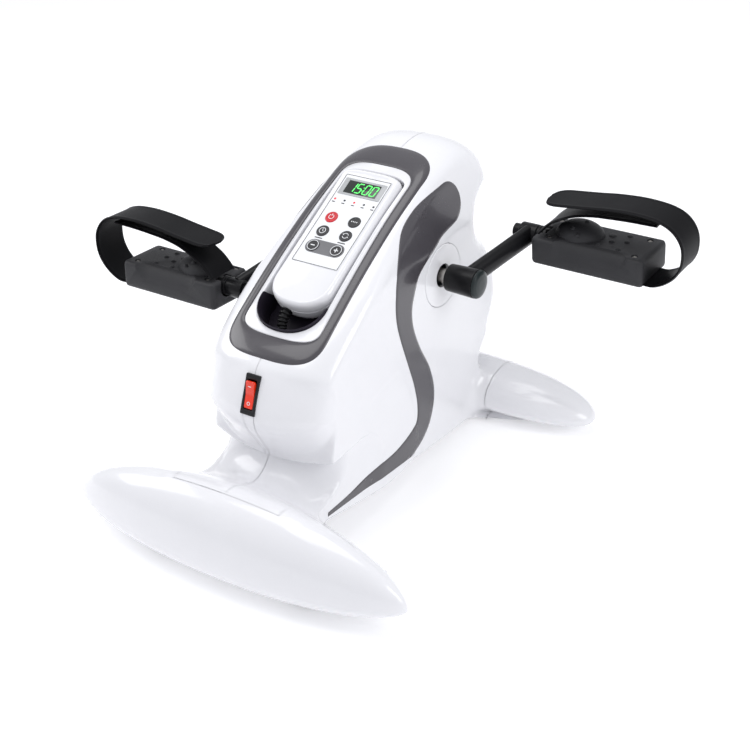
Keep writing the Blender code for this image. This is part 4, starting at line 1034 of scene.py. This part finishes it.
# ---------------------------------------------------------------- handset lead
RELIEF = [(-0.0085, -0.0690, -0.0145), (-0.0085, -0.0760, -0.0158), (-0.0078, -0.0830, -0.0185),
          (-0.0062, -0.0878, -0.0208), (-0.0040, -0.0908, -0.0228)]
LEAD = [(-0.0040, -0.0908, -0.0228), (-0.0012, -0.0928, -0.0246), (0.0024, -0.0938, -0.0266),
        (0.0064, -0.0936, -0.0286), (0.0102, -0.0918, -0.0303), (0.0138, -0.0888, -0.0314),
        (0.0172, -0.0848, -0.0319), (0.0210, -0.0790, -0.0319), (0.0250, -0.0710, -0.0319),
        (0.0284, -0.0620, -0.0319), (0.0307, -0.0530, -0.0319), (0.0318, -0.0440, -0.0319)]
TAIL = [(-0.0124, -0.0086, -0.0283), (-0.0179, -0.0100, -0.0286), (-0.0212, -0.0094, -0.0291),
        (-0.0239, -0.0075, -0.0297), (-0.0258, -0.0048, -0.0301), (TAIL_X, -0.0015, -0.0303),
        (TAIL_X, 0.0060, -0.0303)]
COIL_WIDE, COIL_TIGHT, PITCH = 0.0264, 0.0156, 0.0036
COIL_LAYERS = (-0.0319, -0.0282)
ARRIVE, RISE, LEAVE = 150, 120, 100


def tube(route, radii, sides=16):
    """A round skin along a route, with one radius for each point."""
    rings = []
    side = None
    for i, here in enumerate(route):
        along = (route[min(i + 1, len(route) - 1)] - route[max(i - 1, 0)]).normalized()
        side = (side - along * side.dot(along)).normalized() if side else along.orthogonal().normalized()
        up = along.cross(side)
        turns = [2 * math.pi * k / sides for k in range(sides)]
        rings.append([here + (side * math.cos(t) + up * math.sin(t)) * radii[i] for t in turns])
    return loft(rings)


def strain_relief():
    """A bending ribbed sleeve where the lead leaves the handset."""
    route = [PANEL @ Vector(p) for p in smooth_route(RELIEF, 0.00035)]
    radii = []
    for i in range(len(route)):
        share = i / (len(route) - 1)
        rib = 0.5 + 0.5 * math.tanh(3.0 * math.sin(2 * math.pi * share * 6.5))
        radii.append(0.0040 - 0.0006 * share + (0.0022 - 0.0008 * share) * rib)
    radii[-1] = CORD_R * 0.9
    mesh_object("strain_relief", tube(route, radii, 32), "cord", "handset", ["handset_strain_relief"],
                smooth=50)


def coil():
    """Console points of the lead's turns: in on the lower layer and out on the upper one."""
    low, high = COIL_LAYERS
    first = math.degrees(math.atan2(LEAD[-1][1] - COIL_S, LEAD[-1][0]))
    reach = math.hypot(LEAD[-1][0], LEAD[-1][1] - COIL_S)
    inward = (COIL_WIDE - COIL_TIGHT) / PITCH * 360
    outward = 720 + (LEAVE - first - ARRIVE - inward - RISE) % 360
    out = []
    turned_by = first
    for sweep, r0, r1, k0, k1 in ((ARRIVE, reach, COIL_WIDE, low, low),
                                  (inward, COIL_WIDE, COIL_TIGHT, low, low),
                                  (RISE, COIL_TIGHT, COIL_TIGHT, low, high),
                                  (outward, COIL_TIGHT, COIL_WIDE, high, high)):
        parts = round(sweep / 10)
        for i in range(1, parts + 1):
            share = i / parts
            angle = math.radians(turned_by + sweep * share)
            radius = r0 + (r1 - r0) * share
            out.append((radius * math.cos(angle), COIL_S + radius * math.sin(angle), k0 + (k1 - k0) * share))
        turned_by += sweep
    return out


def lead():
    """The handset's lead, as a tube along its whole centreline."""
    route = [PANEL @ Vector(p) for p in smooth_route(LEAD + coil() + TAIL, 0.0022)]
    piece = mesh_object("handset_lead", tube(route, [CORD_R] * len(route), 14), "cord", smooth=60)
    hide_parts("handset_cord", "handset_cord_coil", "handset_cord_tail")
    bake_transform(piece)


# ---------------------------------------------------------------- switch
ROCKER_REST, ROCKER_SIGN, SIGN_TILT = 9, 0.0085, 6.8
ROCKER_SECTION = [(-0.0135, -0.0005), (0, -0.0045), (0.0135, -0.0005), (0.0135, 0.0028), (0, 0.0012),
                  (-0.0135, 0.0028)]
# across the rocker: position, and how much the section shrinks
ROCKER_ENDS = [(-0.0048, 0.05), (-0.0046, 0.02), (-0.0042, 0), (0.0042, 0), (0.0046, 0.02), (0.0048, 0.05)]


def switch():
    """The rocker switch: its black frame and the lit rocker with its two signs."""
    outer = oblong(-0.0082, -0.0198, 0.0082, 0.0198, 0.0010)
    well = oblong(-0.0052, -0.0145, 0.0052, 0.0145, 0.0005)
    rings = levels(outer, [(0, -0.0040), (0, 0.0018), (-0.0003, 0.0023), (-0.0008, 0.0025)])
    rings += levels(well, [(0.0010, 0.0025), (0.0002, 0.0021), (0, 0.0015), (0, -0.0140)])
    mesh_object("switch_frame", loft(rings, closed=True), "switch", "base", ["rocker_frame"], smooth=35,
                matrix=SWITCH)
    above = Matrix.Translation((0, 0, 0.0012))
    place = SWITCH @ above @ Matrix.Rotation(math.radians(ROCKER_REST), 4, "X")
    section = filleted(ROCKER_SECTION, 0.0011, closed=True, steps=5)
    rings = [[(x, y * (1 - pinch), z * (1 - pinch)) for y, z in section] for x, pinch in ROCKER_ENDS]
    mesh_object("rocker_key", loft(rings), "red", "power_rocker", ["rocker_button"], smooth=35, matrix=place)
    line = bar((-0.0016, ROCKER_SIGN), (0.0016, ROCKER_SIGN), 0.0007, 0.0001, 0.0003)
    ring = hoop(0, -ROCKER_SIGN, 0.0015, 0.0006, 0, 360, 0.0001, 0.0003)
    signs = merged((line, Matrix.Rotation(math.radians(SIGN_TILT), 4, "X")),
                   (ring, Matrix.Rotation(math.radians(-SIGN_TILT), 4, "X")))
    signs.transform(above)
    mesh_object("rocker_signs", signs, "label", "power_rocker", matrix=place)


# ---------------------------------------------------------------- cranks and pedals
# turned profiles along each axis, as (radius, distance out from the middle)
BOSS = [(0.0080, 0.0800), (0.0140, 0.0800), (0.0151, 0.1124), (0.0080, 0.1124)]
EYE = [(0.0066, 0.1100), (0.0102, 0.1100), (0.0102, 0.1300), (0.0066, 0.1300)]
CAP = [(0.0100, 0.0000), (0.0148, 0.0000), (0.0148, 0.0012), (0.0138, 0.0029), (0.0105, 0.0041),
       (0.0055, 0.0047), (0, 0.0048)]
AXLE = [(0.0040, 0.1022), (0.0072, 0.1025), (0.0072, 0.1097), (0.006, 0.1099), (0.006, 0.1303),
        (0.0100, 0.1303), (0.0100, 0.1331), (0.0092, 0.1334), (0.0100, 0.1337), (0.0100, 0.1365),
        (0.0085, 0.1367), (0.0085, 0.1420), (0.006, 0.1422), (0.006, 0.2480), (0, 0.2480)]
CAP_X, ARM_IN_X, ARM_OUT_X, ARM_FROM, ARM_TO = 0.1127, 0.099, 0.120, 0.09, 0.97
ARM_WIDER, ARM_DEEPER = 1.15, 1.62


def cranks():
    """Both cranks with their caps and pedal axles, and both pedals with their straps."""
    for side, word in ((1, "right"), (-1, "left")):
        rise = Vector((0, math.cos(CRANK_RISE), math.sin(CRANK_RISE))) * side * CRANK_THROW
        turn = Matrix.Identity(4) if side > 0 else Matrix.Rotation(math.pi, 4, "Z")
        centre = Vector((0, CRANK_Y, CRANK_Z))
        at_axis = Matrix.Translation(centre) @ turn @ Matrix.Rotation(math.pi / 2, 4, "Y")
        at_end = Matrix.Translation(centre + rise) @ turn @ Matrix.Rotation(math.pi / 2, 4, "Y")
        start = centre + Vector((side * ARM_IN_X, 0, 0)) + rise * ARM_FROM
        end = centre + rise * ARM_TO + Vector((side * ARM_OUT_X, 0, 0))
        aim = (end - start).to_track_quat("Z", "Y").to_matrix().to_4x4()
        length = (end - start).length
        arm = turned([(0.0068, 0), (0.0067, length * 0.5), (0.0068, length)], 40, 0.004, 4)
        arm.transform(Matrix.Diagonal((ARM_WIDER, ARM_DEEPER, 1, 1)))
        crank = merged((turned(BOSS, 64, 0.0012, 5), at_axis), (arm, Matrix.Translation(start) @ aim),
                       (turned(EYE, 48, 0.0016, 5), at_end))
        mesh_object(f"{word}_arm", crank, "black", "crankset", [f"{word}_crank"], smooth=40)
        mesh_object(f"{word}_cap", turned(CAP, 64, 0.0006), "cap", "crankset", [f"{word}_crank_cap"],
                    smooth=50, matrix=at_axis @ Matrix.Translation((0, 0, CAP_X)))
        mesh_object(f"{word}_axle", turned(AXLE, 48, 0.0005), "black", "crankset", [f"{word}_spindle"],
                    smooth=40, matrix=at_end)
        pedal(word, side, centre + rise)


# the pedal block: side profile, section of the front bevel and its run along the block, bore, screw holes
BLOCK_PROFILE = [(-0.0045, -0.0210), (-0.0020, -0.0205), (-0.0006, -0.0190), (0.0, -0.0165), (0.0, 0.0035),
                 (-0.0004, 0.0055), (-0.0014, 0.0071), (-0.0034, 0.0080)]
BEVEL = [(-0.0300, -0.0120), (-0.0241, -0.0120), (-0.0228, -0.0020), (-0.0165, 0.0068), (-0.0100, 0.0082),
         (-0.0100, 0.0200), (-0.0300, 0.0200)]
BEVEL_ENDS = [(0.1540, 1.3), (0.1600, 0.50), (0.1650, 0.16), (0.1700, 0.03), (0.1750, 0), (0.2220, 0),
              (0.2270, 0.03), (0.2320, 0.16), (0.2370, 0.50), (0.2430, 1.3)]
BEVEL_FADE = 0.0045
TOE_PLACE, TOE_SIZE = (0.1738, 0.0070, 0.0065), (0.0262, 0.0205, 0.0158)
BORE = [(0, 0.1300), (0.0118, 0.1300), (0.0118, 0.1425), (0.0064, 0.1425), (0.0064, 0.2500), (0, 0.2500)]
SINK = [(0, 0.0052), (0.0026, 0.0052), (0.0030, 0.0070), (0.0040, 0.0090), (0, 0.0090)]


def pedal(word, side, centre):
    """A foot block with studs, screws and a domed toe rest, and its two-piece strap."""
    tilt = Matrix.Translation(centre) @ Matrix.Rotation(PEDAL_TILT[side], 4, "X")
    hand = Matrix.Diagonal((side, 1, 1, 1))
    block = stacked(oblong(0.1325, -0.024, 0.2570, 0.034, 0.0055, 8), BLOCK_PROFILE)
    piece = mesh_object(f"{word}_block", block, "charcoal", smooth=35)
    slope = filleted(BEVEL, 0.005, closed=True, steps=5)
    cut(piece, loft([[(x, y - BEVEL_FADE * out, z + BEVEL_FADE * out) for y, z in slope]
                     for x, out in BEVEL_ENDS]))
    toe = bmesh.new()
    bmesh.ops.create_uvsphere(toe, u_segments=48, v_segments=24, radius=1)
    toe.transform(Matrix.Translation(TOE_PLACE) @ Matrix.Diagonal((*TOE_SIZE, 1)))
    cut(piece, toe, "UNION")
    bore = turned(BORE, 48, 0.0004)
    bore.transform(Matrix.Rotation(math.pi / 2, 4, "Y"))
    cut(piece, bore)
    for x, y in SCREWS:
        cut(piece, placed(turned(SINK, 28, 0.0002), x, y))
    place = tilt @ hand
    place_data(piece, place, side)
    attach(piece, f"{word}_pedal_set")
    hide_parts(f"{word}_pedal")
    studs, heads = [], []
    for x, y, z, radius in STUDS:
        dome = [(radius * share, height) for share, height in STUD_DOME]
        studs.append(placed(turned(dome, 28, 0.0006), x, y, z))
    for x, y in SCREWS:
        heads.append(placed(turned(SCREW_HEAD, 24, 0.0004), x, y))
        for turn in (0.4, 0.4 + math.pi / 2):
            a = Vector((math.cos(turn), math.sin(turn))) * 0.0013
            heads.append(placed(bar(-a, a, 0.0005, 0.0066, 0.0074), x, y))
    for name, parts, look, smooth in (("studs", studs, "charcoal", 60), ("screws", heads, "steel", 40)):
        mesh_object(f"{word}_{name}", handed(together(parts), place, side), look, f"{word}_pedal_set",
                    smooth=smooth)
    for name, path, free in (("outer", STRAP_OUTER, True), ("inner", STRAP_INNER, False)):
        strap(f"{word}_strap_{name}", path, free, place, side, word)


SCREWS = [(0.1490, -0.0125), (0.1425, 0.0262), (0.2437, -0.0135), (0.2425, 0.0245)]
SCREW_HEAD = [(0.0026, 0.0050), (0.0026, 0.0066), (0, 0.0072)]
STUD_DOME = [(1, 0), (0.93, 0.0010), (0.55, 0.0019), (0, 0.0021)]
# studs: out, rearward, up, radius
STUDS = [(0.1720, -0.0060, 0.0186, 0.0026), (0.1795, -0.0104, 0.0146, 0.0026),
         (0.1802, 0.0089, 0.0214, 0.0026), (0.2050, 0.0173, 0.0076, 0.0042),
         (0.2210, 0.0238, 0.0076, 0.0030), (0.2240, 0.0102, 0.0076, 0.0031),
         (0.2100, 0.0047, 0.0076, 0.0031), (0.2010, -0.0085, 0.0074, 0.0030),
         (0.2230, -0.0085, 0.0074, 0.0030)]
# middle lines of the straps: out, up
STRAP_OUTER = [(0.2530, -0.0178), (0.2590, -0.0180), (0.2670, -0.0174), (0.2780, -0.0120), (0.2880, -0.0030),
               (0.2940, 0.0080), (0.2958, 0.0200), (0.2945, 0.0310), (0.2895, 0.0405), (0.2815, 0.0478),
               (0.2710, 0.0522), (0.2580, 0.0545), (0.2370, 0.0553), (0.2120, 0.0535), (0.1900, 0.0505),
               (0.1650, 0.0475), (0.1430, 0.0450)]
STRAP_INNER = [(0.1390, 0.0115), (0.1465, 0.0200), (0.1565, 0.0280), (0.1770, 0.0380), (0.1980, 0.0430),
               (0.2180, 0.0450), (0.2380, 0.0463), (0.2550, 0.0468), (0.2680, 0.0472)]
OUTER_HALF, INNER_HALF, TONGUE_LENGTH = 0.021, 0.0195, 0.018
BAND_HALF_THICK, BEAD = 0.0010, 0.0006


def placed(bm, x, y, z=0.0):
    """A bmesh moved to a point."""
    bm.transform(Matrix.Translation((x, y, z)))
    return bm


def handed(bm, place, side):
    """A bmesh moved to its place; on the left side its faces are turned back out."""
    bm.transform(place)
    if side < 0:
        bmesh.ops.reverse_faces(bm, faces=bm.faces)
    return bm


def place_data(piece, place, side):
    """Moves an object's own mesh to its place, as handed() does."""
    bm = bmesh.new()
    bm.from_mesh(piece.data)
    handed(bm, place, side).to_mesh(piece.data)
    bm.free()


def strap(name, path, free, place, side, word):
    """A rubber band with beaded edges along a path of (out, up); the free end is a tongue."""
    route = smooth_route(path, 0.0025)
    lengths = [0.0]
    for a, b in zip(route, route[1:]):
        lengths.append(lengths[-1] + (b - a).length)
    rings = []
    for i, here in enumerate(route):
        along = (route[min(i + 1, len(route) - 1)] - route[max(i - 1, 0)]).normalized()
        left = min((lengths[-1] - lengths[i]) / TONGUE_LENGTH, 1)
        wide = OUTER_HALF * (0.22 + 0.78 * math.sqrt(1 - (1 - left) ** 2.4)) if free else INNER_HALF
        ring = []
        for face in (1, -1):
            for k in range(-10, 11):
                u = face * k / 10
                bead = BEAD * math.exp(-((abs(u) - 0.90) / 0.07) ** 2)
                thick = (BAND_HALF_THICK + bead) * math.sqrt(max(0.05, 1 - abs(u) ** 14))
                ring.append((here.x - along.y * thick * face, u * wide, here.y + along.x * thick * face))
        rings.append(ring)
    mesh_object(f"{name}_band", handed(loft(rings), place, side), "strap", f"{word}_pedal_set", [name],
                smooth=50)


# ---------------------------------------------------------------- carried-over nodes
CARRIED = {
    "bottom_plate": "frame", "front_cross_tube": "frame", "rear_cross_tube": "frame", "frame_spine": "frame",
    "axle_stand": "frame", "motor_bracket": "frame", "left_bearing": "steel", "right_bearing": "steel",
    "gear_motor": "steel", "crankshaft": "steel", "driven_pulley": "steel", "motor_pulley": "steel",
    "drive_belt": "strap", "control_board": "board", "handset_board": "board", "power_inlet": "black",
    "cord_grommet": "cord", "front_left_pad": "pad", "front_right_pad": "pad", "rear_left_pad": "pad",
    "rear_right_pad": "pad",
}


def carried():
    """Better materials for the nodes whose CAD shape stays."""
    for name, look in CARRIED.items():
        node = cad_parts[name]
        node.data.materials.clear()
        node.data.materials.append(LOOKS[look])


materials()
camera()
studio()
casing()
lead()
stripe("right_stripe", 1)
stripe("left_stripe", -1)
hub_covers()
console()
handset()
switch()
cranks()
carried()
